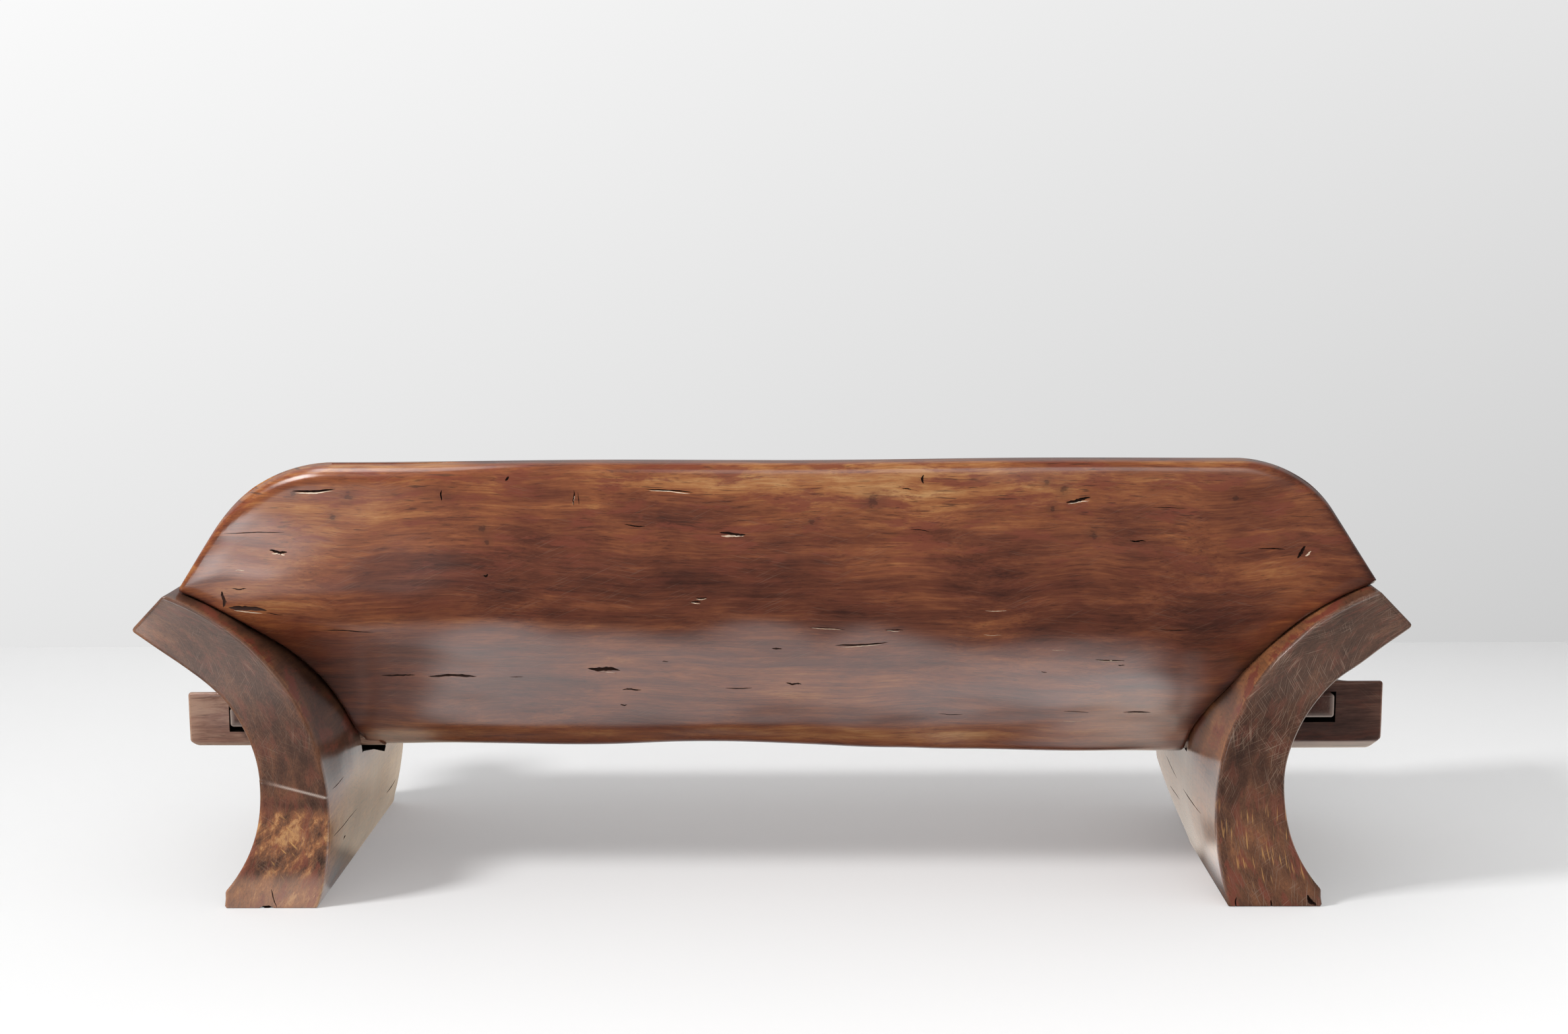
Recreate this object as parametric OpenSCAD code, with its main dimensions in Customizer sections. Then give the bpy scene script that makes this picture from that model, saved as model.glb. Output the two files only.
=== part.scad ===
// Hewn bench in five pieces. One hollowed trunk is both seat and back, and its heel runs on at each
// end as a through tenon. The trunk's ends are scribed to two crescent legs, which hold it like a
// cradle. A wedge key, driven through each tenon from the sitter's side, locks the leg on.
//
// X runs along the bench. Y runs from the back of the bench to the sitter's side. Z is up, with the
// floor at zero. Sizes along Y are measured from the legs' back faces.

/* [Legs] */
// Distance between the outer points of the two leg horns
horn_span = 2400; // [2100:10:2800]
// How far a horn reaches out from the narrowest point of the leg's inner face
horn_reach = 362; // [330:1:390]
// Slope of the horn's underside, from the horizontal
horn_slope = 36; // [30:1:44]
// Angle of the cut across the horn's end, from the horizontal
horn_cut = 46; // [38:1:55]
// Height of the narrowest point of the inner face
waist_h = 188; // [165:1:210]
// Radius of the inner face above that height
cradle_r = 450; // [425:1:475]
// Radius of the inner face below that height
instep_r = 600; // [450:10:900]
// Thickness of the leg at its narrowest
waist_t = 131; // [110:1:150]
// Height at which the outer face is hollowed deepest
hollow_h = 236; // [220:1:250]
// Radius of the outer face above that height
hollow_r = 271; // [250:1:290]
// Radius of the outer face below that height
shin_r = 305; // [270:1:360]
// Reach of the toe out from the narrowest point of the inner face
toe_reach = 208; // [185:1:225]
// Depth of the left leg, from back to front
leg_depth_left = 700; // [620:5:780]
// Depth of the right leg
leg_depth_right = 670; // [600:5:780]
// Where the hewn front corner of the right foot starts on the floor
hewn_start = 390; // [340:5:480]
// Slope of that hewn corner, from the floor
hewn_slope = 21; // [12:1:34]

/* [Seat and back] */
// Height of the top edge of the back
back_h = 848; // [790:1:900]
// Distance from the legs' back faces to the top edge
top_y = 62; // [30:1:100]
// Thickness of the back at its top edge
top_t = 70; // [50:1:90]
// Height of the bend between the back and the flank, where its flat sides would meet
belly_h = 548; // [530:1:575]
// Distance from the legs' back faces to that bend
belly_y = 46; // [25:1:65]
// Thickness of the wood at that bend
belly_t = 84; // [65:1:100]
// Height of the underside of the heel at the middle of the bench
heel_h = 226; // [212:1:234]
// Distance from the legs' back faces to the heel's back corner
heel_y = 318; // [300:1:330]
// Width of the flat underside of the heel
heel_flat = 122; // [100:1:150]
// Fall of the underside over the length of the bench, from left to right
heel_fall = 20; // [0:1:36]
// Rise of the shallow arch that is hewn into the heel's underside
arch_rise = 11; // [1:1:16]
// Distance from the middle of that arch to the middle of the bench, to the left
arch_left = 110; // [0:10:300]
// Length of that arch along the bench
arch_span = 380; // [240:10:600]
// Height of the deepest corner of the seat's hollow, where its flat sides would meet
trough_h = 356; // [345:1:372]
// Distance from the legs' back faces to that corner
trough_y = 395; // [375:1:420]
// Distance from the legs' back faces to the seat's front edge
seat_depth = 716; // [660:1:780]
// Height of the top of the seat's front edge
seat_h = 424; // [400:1:450]
// Thickness of the seat at its front edge
seat_t = 76; // [56:1:96]
// Radius of the round along the top edge and the seat's front edge
edge_r = 20; // [8:1:24]
// Radius of the bend between the back and the flank, outside
belly_r = 170; // [60:5:240]
// Radius of the heel's back corner
heel_r = 40; // [15:1:60]
// Radius of the hollow's deepest corner
trough_r = 150; // [60:5:200]
// How far the corner of the left wing reaches out from the narrowest point of the leg's inner face
wing_reach_left = 286; // [272:1:312]
// How far the corner of the right wing reaches out from there
wing_reach_right = 312; // [272:1:322]
// Height of the wings' corners, where their edges would meet the horns
wing_h = 606; // [596:1:612]
// Slope of the wings' straight edges, from the horizontal
wing_slope = 58; // [50:1:66]
// Radius of the round between the left wing's edge and the top edge
wing_r_left = 260; // [180:5:310]
// Radius of the same round on the right wing
wing_r_right = 215; // [180:5:310]
// Gap between the scribed end of the trunk and the leg
scribe_gap = 0.3; // [0.2:0.05:0.5]

/* [Tenons] */
// How far the left tenon reaches out from the narrowest point of the leg's inner face
tenon_reach_left = 357; // [312:1:402]
// How far the right tenon reaches out from there
tenon_reach_right = 396; // [332:1:452]
// Height of the underside of the left tenon above the floor
tenon_z_left = 236; // [230:1:244]
// Height of the underside of the right tenon above the floor
tenon_z_right = 223; // [215:1:232]
// Height of the left tenon from its underside to its top
tenon_h_left = 115; // [108:1:122]
// Height of the right tenon from its underside to its top
tenon_h_right = 144; // [134:1:150]
// Distance from the legs' back faces to the back of the tenons
tenon_y = 305; // [298:1:315]
// Width of the tenons from back to front
tenon_w = 122; // [105:1:135]
// Chamfer on the lower edge of the left tenon's end
tenon_nip_left = 12; // [4:1:20]
// Chamfer on the lower edge of the right tenon's end
tenon_nip_right = 24; // [8:1:34]
// Play of the tenons in the legs' mortises, at the top and the sides
mortise_play = 0.5; // [0.3:0.1:2]
// Gap under the left tenon in its mortise
mortise_drop_left = 13; // [2:1:20]
// Gap under the right tenon in its mortise
mortise_drop_right = 3; // [1:1:12]

/* [Keys] */
// Width of the left key along the bench, at its thin back end
key_w_left = 120; // [100:1:140]
// Width of the right key there
key_w_right = 139; // [110:1:150]
// How much wider a key is at its front end
key_taper = 9; // [3:1:14]
// Height of the left key at its thin back end
key_h_left = 38; // [30:1:46]
// Height of the right key there
key_h_right = 47; // [36:1:54]
// How much higher a key is at its front end
key_rise = 20; // [6:1:26]
// How far a key stands out behind its tenon
key_nose = 25; // [10:1:45]
// How far it stands out in front of its tenon
key_head = 34; // [15:1:60]
// Distance from the underside of the left tenon to the top of its key
key_top_left = 86; // [80:1:98]
// Distance from the underside of the right tenon to the top of its key
key_top_right = 121; // [100:1:126]
// Bevel on the edges of a key's back end
key_bevel = 6; // [2:1:10]
// Depth by which the key's mortise reaches into the leg's thickness, so that the key can draw
key_draw = 5; // [1:1:10]
// Gap between a key and the faces that it bears on
key_gap = 0.2; // [0.1:0.05:0.4]

/* [Hidden] */

shell_brown = [0.45, 0.22, 0.12];
leg_brown = [0.34, 0.20, 0.15];
key_brown = [0.40, 0.24, 0.17];
arc_steps = 14;
margin = 20;

// Distance from the bench's middle to the narrowest point of a leg's inner face
waist_x = horn_span / 2 - horn_reach;
// Place on the hollow outer face where the horn's straight underside starts
horn_root = [waist_t + hollow_r, hollow_h] + hollow_r * [-sin(horn_slope), cos(horn_slope)];
// Height of the horn's outer point
horn_h = horn_root[1] + (horn_reach - horn_root[0]) * tan(horn_slope);
// Half the angle that the shin's round covers down to the toe, or to the floor
shin_turn = min(acos((waist_t + shin_r - toe_reach) / shin_r), asin(hollow_h / shin_r));
toe_x = waist_t + shin_r * (1 - cos(shin_turn));
// Lowest line of the trunk's section, under the low end of the heel
sole_h = heel_h - heel_fall / 2 - 4;
arch_r = (pow(arch_span / 2, 2) + pow(arch_rise, 2)) / (2 * arch_rise);
wing_left = -waist_x - wing_reach_left;
wing_right = waist_x + wing_reach_right;
front_y = tenon_y + tenon_w;
// The bench is centred on its bounding box
left_end = waist_x + max(tenon_reach_left, horn_reach);
right_end = waist_x + max(tenon_reach_right, horn_reach);
front_end = max(concat([for (p = section_points()) p[0]], [leg_depth_left, leg_depth_right]));

module centred() {
    translate([(left_end - right_end) / 2, -front_end / 2, 0]) children();
}

// A solid along Y, from y0 to y1, of an outline drawn in X and Z
module along_y(y0, y1) {
    translate([0, y1, 0]) rotate([90, 0, 0]) linear_extrude(y1 - y0) children();
}

// A solid along X, from x0 to x1, of an outline drawn in Y and Z
module along_x(x0, x1) {
    translate([x0, 0, 0]) rotate([90, 0, 90]) linear_extrude(x1 - x0) children();
}

// Puts what is drawn outwards from a leg's narrowest point on the left (-1) or right (1) side
module on_side(side) {
    mirror([side < 0 ? 1 : 0, 0, 0]) translate([waist_x, 0, 0]) children();
}

function by_side(side, left, right) = side < 0 ? left : right;
function arc(c, r, a0, a1) = [
    for (i = [0 : arc_steps])
        let (a = a0 + (a1 - a0) * i / arc_steps) c + r * [cos(a), sin(a)]
];

// Replaces the corner b, between a and c, by an arc of radius r that touches both sides
function rounded(a, b, c, r) =
    let (
        u = (a - b) / norm(a - b),
        v = (c - b) / norm(c - b),
        half = acos(u * v) / 2,
        m = b + (u + v) / norm(u + v) * r / sin(half),
        p = b + u * r / tan(half) - m,
        q = b + v * r / tan(half) - m,
        a0 = atan2(p[1], p[0]),
        turn = atan2(p[0] * q[1] - p[1] * q[0], p * q)
    )
    arc(m, r, a0, a0 + turn);

// Points of a closed outline whose corners are [point, radius]
function outline(corners) = let (n = len(corners)) [
    for (i = [0 : n - 1])
        each rounded(corners[(i + n - 1) % n][0], corners[i][0], corners[(i + 1) % n][0], corners[i][1])
];

// The leg's convex inner face from the floor up to the horn, as a line of points
function inner_face(grow) = [
    each arc([instep_r, waist_h], instep_r + grow, 180 + asin(waist_h / (instep_r + grow)), 180),
    each arc([cradle_r, waist_h], cradle_r + grow, 180, acos((horn_reach - cradle_r) / cradle_r))
];

// A leg seen from the back: convex inner face, horn cut across, hollow outer face, sole and toe
module leg_outline() {
    difference() {
        polygon([
            each inner_face(0),
            [horn_reach, horn_h],
            each arc([waist_t + hollow_r, hollow_h], hollow_r, 90 + horn_slope, 180),
            each arc([waist_t + shin_r, hollow_h], shin_r, 180, 180 + shin_turn),
            [toe_x, 0]
        ]);
        translate([horn_reach, horn_h]) rotate(-horn_cut) translate([-cradle_r, 0])
            square([2 * cradle_r, cradle_r]);
    }
}

// The space that a leg takes from the end of the trunk
module scribe() {
    along_y(-margin, front_end + margin)
        polygon([each inner_face(scribe_gap), [2 * cradle_r, waist_h], [2 * cradle_r, 0]]);
}

module leg(side) {
    z = by_side(side, tenon_z_left, tenon_z_right);
    h = by_side(side, tenon_h_left, tenon_h_right);
    drop = by_side(side, mortise_drop_left, mortise_drop_right);
    color(leg_brown) centred() on_side(side) difference() {
        along_y(0, by_side(side, leg_depth_left, leg_depth_right)) leg_outline();
        translate([-margin, tenon_y - mortise_play, z - drop])
            cube([horn_reach, tenon_w + 2 * mortise_play, h + drop + mortise_play]);
        if (side > 0)
            along_x(-margin, horn_reach)
                translate([hewn_start, 0]) rotate(hewn_slope) translate([0, -front_end])
                    square(front_end);
    }
}

// The trunk's section: round-cornered, thin at the top edge and thick at the heel
function section_points() = outline([
    [[top_y, back_h], edge_r],
    [[belly_y, belly_h], belly_r],
    [[heel_y, sole_h], heel_r],
    [[heel_y + heel_flat, sole_h], heel_flat / 2],
    [[seat_depth - edge_r / 2, seat_h - seat_t], edge_r],
    [[seat_depth, seat_h], edge_r],
    [[trough_y, trough_h], trough_r],
    [[belly_y + belly_t, belly_h + margin], belly_r - belly_t / 2],
    [[top_y + top_t, back_h], edge_r]
]);

// The trunk seen from the back: level top edge, rounded into two sloping wings
module wings() {
    run = (back_h - wing_h) / tan(wing_slope);
    polygon(concat(
        [[wing_left, 0], [wing_left, wing_h]],
        rounded([wing_left, wing_h], [wing_left + run, back_h], [0, back_h], wing_r_left),
        rounded([0, back_h], [wing_right - run, back_h], [wing_right, wing_h], wing_r_right),
        [[wing_right, wing_h], [wing_right, 0]]
    ));
}

// What is hewn off under the heel: down to a plane that falls to the right, with a shallow arch in it
module hewn_off() {
    translate([0, 0, heel_h]) rotate([0, atan(heel_fall / (2 * waist_x)), 0]) {
        translate([-horn_span, 0, -heel_h]) cube([2 * horn_span, seat_depth, heel_h]);
        translate([-arch_left, 0, arch_rise - arch_r]) rotate([-90, 0, 0])
            cylinder(r = arch_r, h = seat_depth);
    }
}

module trunk() {
    difference() {
        intersection() {
            along_x(wing_left, wing_right) polygon(section_points());
            along_y(-margin, seat_depth + margin) wings();
        }
        on_side(-1) scribe();
        on_side(1) scribe();
        hewn_off();
    }
}

// A through tenon, with the lower edge of its end chamfered
module tenon(side) {
    z = by_side(side, tenon_z_left, tenon_z_right);
    h = by_side(side, tenon_h_left, tenon_h_right);
    nip = by_side(side, tenon_nip_left, tenon_nip_right);
    end = by_side(side, tenon_reach_left, tenon_reach_right);
    on_side(side) along_y(tenon_y, front_y)
        polygon([[-margin, z], [end - nip, z], [end, z + nip], [end, z + h], [-margin, z + h]]);
}

// Height of a key's flat top, and the place where it meets the leg's hollow outer face
function key_top(side) =
    by_side(side, tenon_z_left + key_top_left, tenon_z_right + key_top_right);
function key_foot(side) =
    waist_t + hollow_r - sqrt(pow(hollow_r, 2) - pow(key_top(side) - hollow_h, 2));

key_back = tenon_y - key_nose;
key_front = front_y + key_head;
key_length = key_front - key_back;

function key_w(side) = by_side(side, key_w_left, key_w_right);
function key_h(side) = by_side(side, key_h_left, key_h_right);
// Height of a key, and of its mortise, where it leaves the front of the tenon
function key_bite(side) = key_h(side) + key_rise * (front_y - key_back) / key_length;

// A key from above, straight against the leg and sloping outside
module key_plan(side) {
    x = key_foot(side) + key_gap;
    w = key_w(side);
    polygon([
        [x, key_back], [x + w - key_bevel, key_back], [x + w, key_back + key_bevel],
        [x + w + key_taper, key_front], [x, key_front]
    ]);
}

// A key from its side, flat on top and sloping underneath
module key_side(side) {
    z = key_top(side);
    h = key_h(side);
    polygon([
        [key_back, z], [key_front, z], [key_front, z - h - key_rise],
        [key_back + key_bevel, z - h], [key_back, z - h + key_bevel]
    ]);
}

// The hole through a tenon that takes the key
module key_mortise(side) {
    x = key_foot(side);
    lean = key_taper / (key_length - key_bevel);
    outside = x + key_w(side) + 2 * key_gap;
    on_side(side) translate([0, 0, key_top(side) - key_bite(side) - key_gap])
        linear_extrude(key_bite(side) + 2 * key_gap)
            polygon([
                [x - key_draw, key_back], [outside - key_bevel * lean, key_back],
                [outside + lean * (key_length - key_bevel), key_front], [x - key_draw, key_front]
            ]);
}

module key(side) {
    color(key_brown) centred() on_side(side) intersection() {
        linear_extrude(back_h) key_plan(side);
        along_x(0, horn_span) key_side(side);
    }
}

module seat_back() {
    color(shell_brown) centred() difference() {
        union() {
            trunk();
            tenon(-1);
            tenon(1);
        }
        key_mortise(-1);
        key_mortise(1);
    }
}

seat_back();
leg(-1);  // leg_left
leg(1);  // leg_right
key(-1);  // key_left
key(1);  // key_right
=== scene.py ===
"""A hewn bench: one hollowed trunk for seat and back, cradled by two crescent legs and held by wedge keys.

All shapes are worked out in the bench's own measures, in metres: x from the middle between the leg
horns, y from the legs' back faces, z from the floor. A mesh is moved into the frame when it is made.
"""
import math

import bmesh
import bpy
import numpy as np
from mathutils import Matrix, Vector


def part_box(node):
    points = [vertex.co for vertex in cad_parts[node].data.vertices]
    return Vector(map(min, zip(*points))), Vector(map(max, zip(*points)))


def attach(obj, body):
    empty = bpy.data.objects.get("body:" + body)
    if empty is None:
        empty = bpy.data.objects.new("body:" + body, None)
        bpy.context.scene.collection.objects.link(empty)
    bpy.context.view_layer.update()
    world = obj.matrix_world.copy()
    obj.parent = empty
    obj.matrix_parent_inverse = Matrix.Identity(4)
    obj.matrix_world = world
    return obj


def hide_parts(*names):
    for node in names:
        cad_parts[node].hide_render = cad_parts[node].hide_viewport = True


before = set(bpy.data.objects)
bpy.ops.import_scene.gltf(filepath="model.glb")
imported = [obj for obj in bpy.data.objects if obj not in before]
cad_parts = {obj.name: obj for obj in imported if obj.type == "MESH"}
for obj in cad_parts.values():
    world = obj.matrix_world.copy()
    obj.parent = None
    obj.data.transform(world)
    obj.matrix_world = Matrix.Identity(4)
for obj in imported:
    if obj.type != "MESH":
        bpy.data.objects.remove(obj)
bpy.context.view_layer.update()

# The camera. It stands behind the bench, where the photographer stood: 1.3 m above the floor and
# 3.6 m from the legs' back faces, looking down a little and hardly turned. Its focal length is a
# count of pixels across the picture's width.
PICTURE_WIDTH = 2377
FOCAL_PIXELS = 3000
PITCH, YAW, ROLL = np.radians([8.605, 0.907, -0.4])
CAMERA_ASIDE, CAMERA_AWAY, CAMERA_H = 0.087, 3.615, 1.3

left_leg, right_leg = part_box("leg_left"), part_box("leg_right")
MIDDLE = (left_leg[0].x + right_leg[1].x) / 2
BACK = left_leg[0].y
SPAN = right_leg[1].x - left_leg[0].x

ahead = np.array([-math.sin(YAW) * math.cos(PITCH), math.cos(YAW) * math.cos(PITCH), -math.sin(PITCH)])
across = np.array([math.cos(YAW), math.sin(YAW), 0])
upward = np.cross(across, ahead)
camera = bpy.data.objects.new("camera", bpy.data.cameras.new("camera"))
bpy.context.scene.collection.objects.link(camera)
camera.data.sensor_width = 36
camera.data.lens = camera.data.sensor_width * FOCAL_PIXELS / PICTURE_WIDTH
camera_place = Matrix.Translation((MIDDLE + CAMERA_ASIDE, BACK - CAMERA_AWAY, CAMERA_H))
camera.matrix_world = camera_place @ Matrix(np.stack([
    math.cos(ROLL) * across + math.sin(ROLL) * upward,
    math.cos(ROLL) * upward - math.sin(ROLL) * across,
    -ahead,
], axis=1).tolist()).to_4x4()
bpy.context.scene.camera = camera
bpy.context.scene.view_settings.view_transform = "Standard"


# The trunk. One log, hollowed inside to a seat and a back, dressed smooth outside and waxed. Its top
# edge is rounded over and runs down at each end into a sloping wing. Below the wings its ends are
# scribed to the legs. The outside has shakes, knots and gouges, which are cut after the skin is made.

# A reach is a distance outwards from a leg's waist, where its inner face is narrowest.
HORN_REACH = 0.362
LEG_WAIST = SPAN / 2 - HORN_REACH
CRADLE_R, WAIST_H = 0.450, 0.188
TOP_H, TOP_Y, TOP_T = 0.848, 0.062, 0.070
BELLY, BELLY_R = (0.046, 0.548), 0.170
HEEL_Y, HEEL_FLAT, HEEL_H, HEEL_FALL, HEEL_R = 0.318, 0.122, 0.226, 0.020, 0.040
SEAT_Y, SEAT_H, SEAT_T = 0.716, 0.424, 0.076
NOSE_R = 0.020
TROUGH, TROUGH_R = (0.395, 0.356), 0.150
INSIDE_BEND, INSIDE_R = (0.130, 0.568), 0.128
WING_H, WING_SLOPE = 0.606, math.radians(58)
WING_REACH = {-1: 0.286, 1: 0.312}
WING_R = {-1: 0.260, 1: 0.215}
SCRIBE_GAP = 0.0003
HEWN_DROP = 0.004
SOLE_H = HEEL_H - HEEL_FALL / 2 - HEWN_DROP


def fillet(a, b, c, radius, count=12):
    """Points of the arc that replaces the corner b, between a and c, and touches both sides."""
    a, b, c = (np.asarray(p, float) for p in (a, b, c))
    u, v = (a - b) / np.linalg.norm(a - b), (c - b) / np.linalg.norm(c - b)
    half = math.acos(u @ v) / 2
    centre = b + (u + v) / np.linalg.norm(u + v) * radius / math.sin(half)
    p, q = b + u * radius / math.tan(half) - centre, b + v * radius / math.tan(half) - centre
    start = math.atan2(p[1], p[0])
    turn = math.atan2(p[0] * q[1] - p[1] * q[0], p @ q)
    angle = start + turn * np.linspace(0, 1, count)
    return centre + radius * np.stack([np.cos(angle), np.sin(angle)], axis=1)


def rounded_line(start, corners, end):
    """Open line from start to end, whose corners (point, radius) are rounded by arcs."""
    ends = [start] + [point for point, _ in corners] + [end]
    arcs = [
        fillet(ends[i], point, ends[i + 2], radius) if radius else np.array([point])
        for i, (point, radius) in enumerate(corners)
    ]
    return np.vstack([[start], *arcs, [end]])


def distances(line):
    """Distance of each point of a line from its start, measured along it."""
    return np.concatenate([[0], np.cumsum(np.linalg.norm(np.diff(line, axis=0), axis=1))])


def points_at(line, places):
    """Points of a line at the given distances along it."""
    along = distances(line)
    return np.stack([np.interp(places, along, line[:, k]) for k in range(2)], axis=1)


def smooth(t):
    """Ramp from 0 to 1 with level ends, for t from 0 to 1."""
    t = np.clip(t, 0, 1)
    return t * t * (3 - 2 * t)


def swell(p, q, waves, size, seed):
    """Gentle unevenness: a sum of sines over (p, q), each wave with its own length, bearing and phase."""
    rng = np.random.default_rng(seed)
    total = 0
    for length in waves:
        bearing, phase = rng.uniform(0, math.tau, 2)
        turn = (p * math.cos(bearing) + q * math.sin(bearing)) / length
        total = total + length / max(waves) * np.sin(math.tau * turn + phase)
    return size * total


def scribe_reach(z):
    """How far the leg's inner face lies outwards from its narrowest point at height z: an arc."""
    inside = np.clip(CRADLE_R ** 2 - (z - WAIST_H) ** 2, 0, None)
    return CRADLE_R - np.sqrt(inside) - SCRIBE_GAP


def wing_centre(side):
    """Centre of the round between a wing's sloping edge and the top edge, as (reach, height)."""
    r = WING_R[side]
    height = TOP_H - r
    out = WING_REACH[side] - (r + (height - WING_H) * math.cos(WING_SLOPE)) / math.sin(WING_SLOPE)
    return out, height


def wing_reach(z, side):
    """How far the wing's edge lies outwards from the leg's narrowest point at height z."""
    out, height = wing_centre(side)
    r = WING_R[side]
    slope = WING_REACH[side] - (z - WING_H) / math.tan(WING_SLOPE)
    curve = out + np.sqrt(np.clip(r ** 2 - (z - height) ** 2, 0, None))
    return np.where(z < height + r * math.cos(WING_SLOPE), slope, curve)


def end_reach(z, side):
    """Reach of the trunk's end at height z: the lesser of wing edge and scribed arc, blended."""
    wing, scribe, blend = wing_reach(z, side), scribe_reach(z), 0.004
    gap = np.clip((blend - np.abs(wing - scribe)) / blend, 0, None)
    return np.minimum(wing, scribe) - gap ** 2 * blend / 4


def edge_distance(reach, z, side):
    """Distance from a point of the trunk, seen from behind, inwards to its free or scribed edge."""
    out, height = wing_centre(side)
    slope = (WING_REACH[side] - reach) * math.sin(WING_SLOPE) - (z - WING_H) * math.cos(WING_SLOPE)
    top = TOP_H - z
    dx, dz = reach - out, z - height
    in_round = (dx > 0) & (dz * math.sin(WING_SLOPE) > dx * math.cos(WING_SLOPE))
    free = np.where(in_round, WING_R[side] - np.hypot(dx, dz), np.where(dx > 0, slope, top))
    lean = np.clip((z - WAIST_H) / CRADLE_R, 0, 0.95)
    scribed = (scribe_reach(z) - reach) * np.sqrt(1 - lean ** 2)
    return np.clip(np.minimum(free, scribed), 0, None)


def arris(distance, radius):
    """Depth by which a rounded edge falls away at a distance from it: a quarter circle."""
    d = np.minimum(distance, radius)
    return radius - np.sqrt(np.clip(radius ** 2 - (radius - d) ** 2, 0, None))


def squares(first, second):
    """Four-sided faces between two grids of vertex numbers and their next rows."""
    return np.stack([first[:-1], second[:-1], second[1:], first[1:]], axis=-1).reshape(-1, 4)


def closed_mesh(name, points, faces):
    """Object of a closed mesh from points in the bench's own measures. Its faces point outwards."""
    mesh = bpy.data.meshes.new(name)
    mesh.from_pydata((points + (MIDDLE, BACK, 0)).tolist(), [], faces)
    work = bmesh.new()
    work.from_mesh(mesh)
    bmesh.ops.recalc_face_normals(work, faces=work.faces)
    work.to_mesh(mesh)
    work.free()
    made = bpy.data.objects.new(name, mesh)
    bpy.context.scene.collection.objects.link(made)
    return made


def skin(name, rings, first_cap=None, last_cap=None, cap_rows=8):
    """Closed mesh through rings of points, shape (stations, around, 3).

    Point k of a ring lies opposite point around - k. Each end is closed by rows of points between such
    pairs, worked out as (1 - s) P(k) + s P(around - k) unless given, and by a fan at points 0 and around / 2.
    """
    stations, around = rings.shape[:2]
    half = around // 2
    grid = np.arange(stations * around).reshape(stations, around)
    quads = [squares(grid, np.roll(grid, -1, axis=1))]
    points, fans, count = [rings.reshape(-1, 3)], [], stations * around
    for ring, row, cap in ((rings[0], grid[0], first_cap), (rings[-1], grid[-1], last_cap)):
        if cap is None:
            cap = straight_cap(ring, cap_rows)
        inner = count + np.arange(cap.shape[0] * cap.shape[1]).reshape(cap.shape[:2])
        rows = np.hstack([row[1:half, None], inner, row[:half:-1, None]])
        quads.append(squares(rows[:, :-1], rows[:, 1:]))
        for tip, edge in ((row[0], rows[0]), (row[half], rows[-1])):
            fans.append(np.stack([np.full(len(edge) - 1, tip), edge[:-1], edge[1:]], axis=1))
        points.append(cap.reshape(-1, 3))
        count += inner.size
    return closed_mesh(name, np.vstack(points), np.vstack(quads).tolist() + np.vstack(fans).tolist())


def straight_cap(ring, cap_rows):
    """Points between the opposite pairs of a ring, shape (pairs, cap_rows - 1, 3)."""
    half = len(ring) // 2
    share = np.linspace(0, 1, cap_rows + 1)[1:-1, None]
    return ring[1:half, None] * (1 - share) + ring[:half:-1, None] * share


# Section lines of the trunk, outside and inside, from the middle of the top edge to the middle of the nose
section_start = (TOP_Y + TOP_T / 2, TOP_H)
section_end = (SEAT_Y - NOSE_R / 4, SEAT_H - SEAT_T / 2)
outside = rounded_line(section_start, [
    ((TOP_Y, TOP_H), 0), (BELLY, BELLY_R), ((HEEL_Y, SOLE_H), HEEL_R),
    ((HEEL_Y + HEEL_FLAT, SOLE_H), HEEL_FLAT / 2), ((SEAT_Y - NOSE_R / 2, SEAT_H - SEAT_T), NOSE_R),
], section_end)
inside = rounded_line(section_start, [
    ((TOP_Y + TOP_T, TOP_H), 0), (INSIDE_BEND, INSIDE_R), (TROUGH, TROUGH_R), ((SEAT_Y, SEAT_H), NOSE_R),
], section_end)
# Steps across a rounded edge, and the distance along the outside at which the heel's turn begins
ROUND_STEPS = NOSE_R * (1 - np.cos(np.linspace(0, math.pi / 2, 8)))
HEEL_TURN = 0.86
# The flank passes into the belly without a crease: its line is averaged over a spread on both sides
along_outside = np.linspace(0, distances(outside)[-1], 900)
spread = 0.055 * smooth((along_outside - 0.08) / 0.09) * smooth((0.66 - along_outside) / 0.10)
outside = sum(points_at(outside, along_outside + shift * spread) for shift in np.linspace(-1, 1, 9)) / 9
outside_places = np.concatenate([
    [0, TOP_T / 4], TOP_T / 2 + ROUND_STEPS,
    np.linspace(TOP_T / 2 + NOSE_R, HEEL_TURN, 124)[1:],
    np.linspace(HEEL_TURN, distances(outside)[-1], 42)[1:],
])
inside_places = np.concatenate([
    [0, TOP_T / 4], TOP_T / 2 + ROUND_STEPS,
    np.linspace(TOP_T / 2 + NOSE_R, distances(inside)[-1], 165)[1:],
])
TOP_ROWS = 2 + len(ROUND_STEPS)
# A row on the flank, and the number of rows above the heel, by which a point of the back is found
FLANK_ROW, BACK_ROWS = 40, 140
# The first stations from either end, and the number of steps between the last of them
EDGE_STEPS = np.concatenate([ROUND_STEPS, [0.027, 0.036, 0.048, 0.06]])
LENGTH_STEPS = 215
# Radius of the end's arris at rising heights: on the scribed part, at its top, and along the wing
EDGE_HEIGHTS = [WING_H - 0.07, WING_H - 0.01, 0.70, 0.80, TOP_H]
EDGE_ARRIS = {-1: (0.010, 0.005, 0.0125, 0.018, NOSE_R), 1: (0.009, 0.006, 0.0130, 0.018, NOSE_R)}
# Extra rounding of the left shoulder, the broad fall towards the wings' edges, and the flank's swell
SHOULDER = 0.7
EDGE_ROLL, EDGE_ROLL_WIDTH = {-1: 0.003, 1: 0.006}, 0.050
FLANK_SWELL, FLANK_TWIST = 0.004, 0.017


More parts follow.
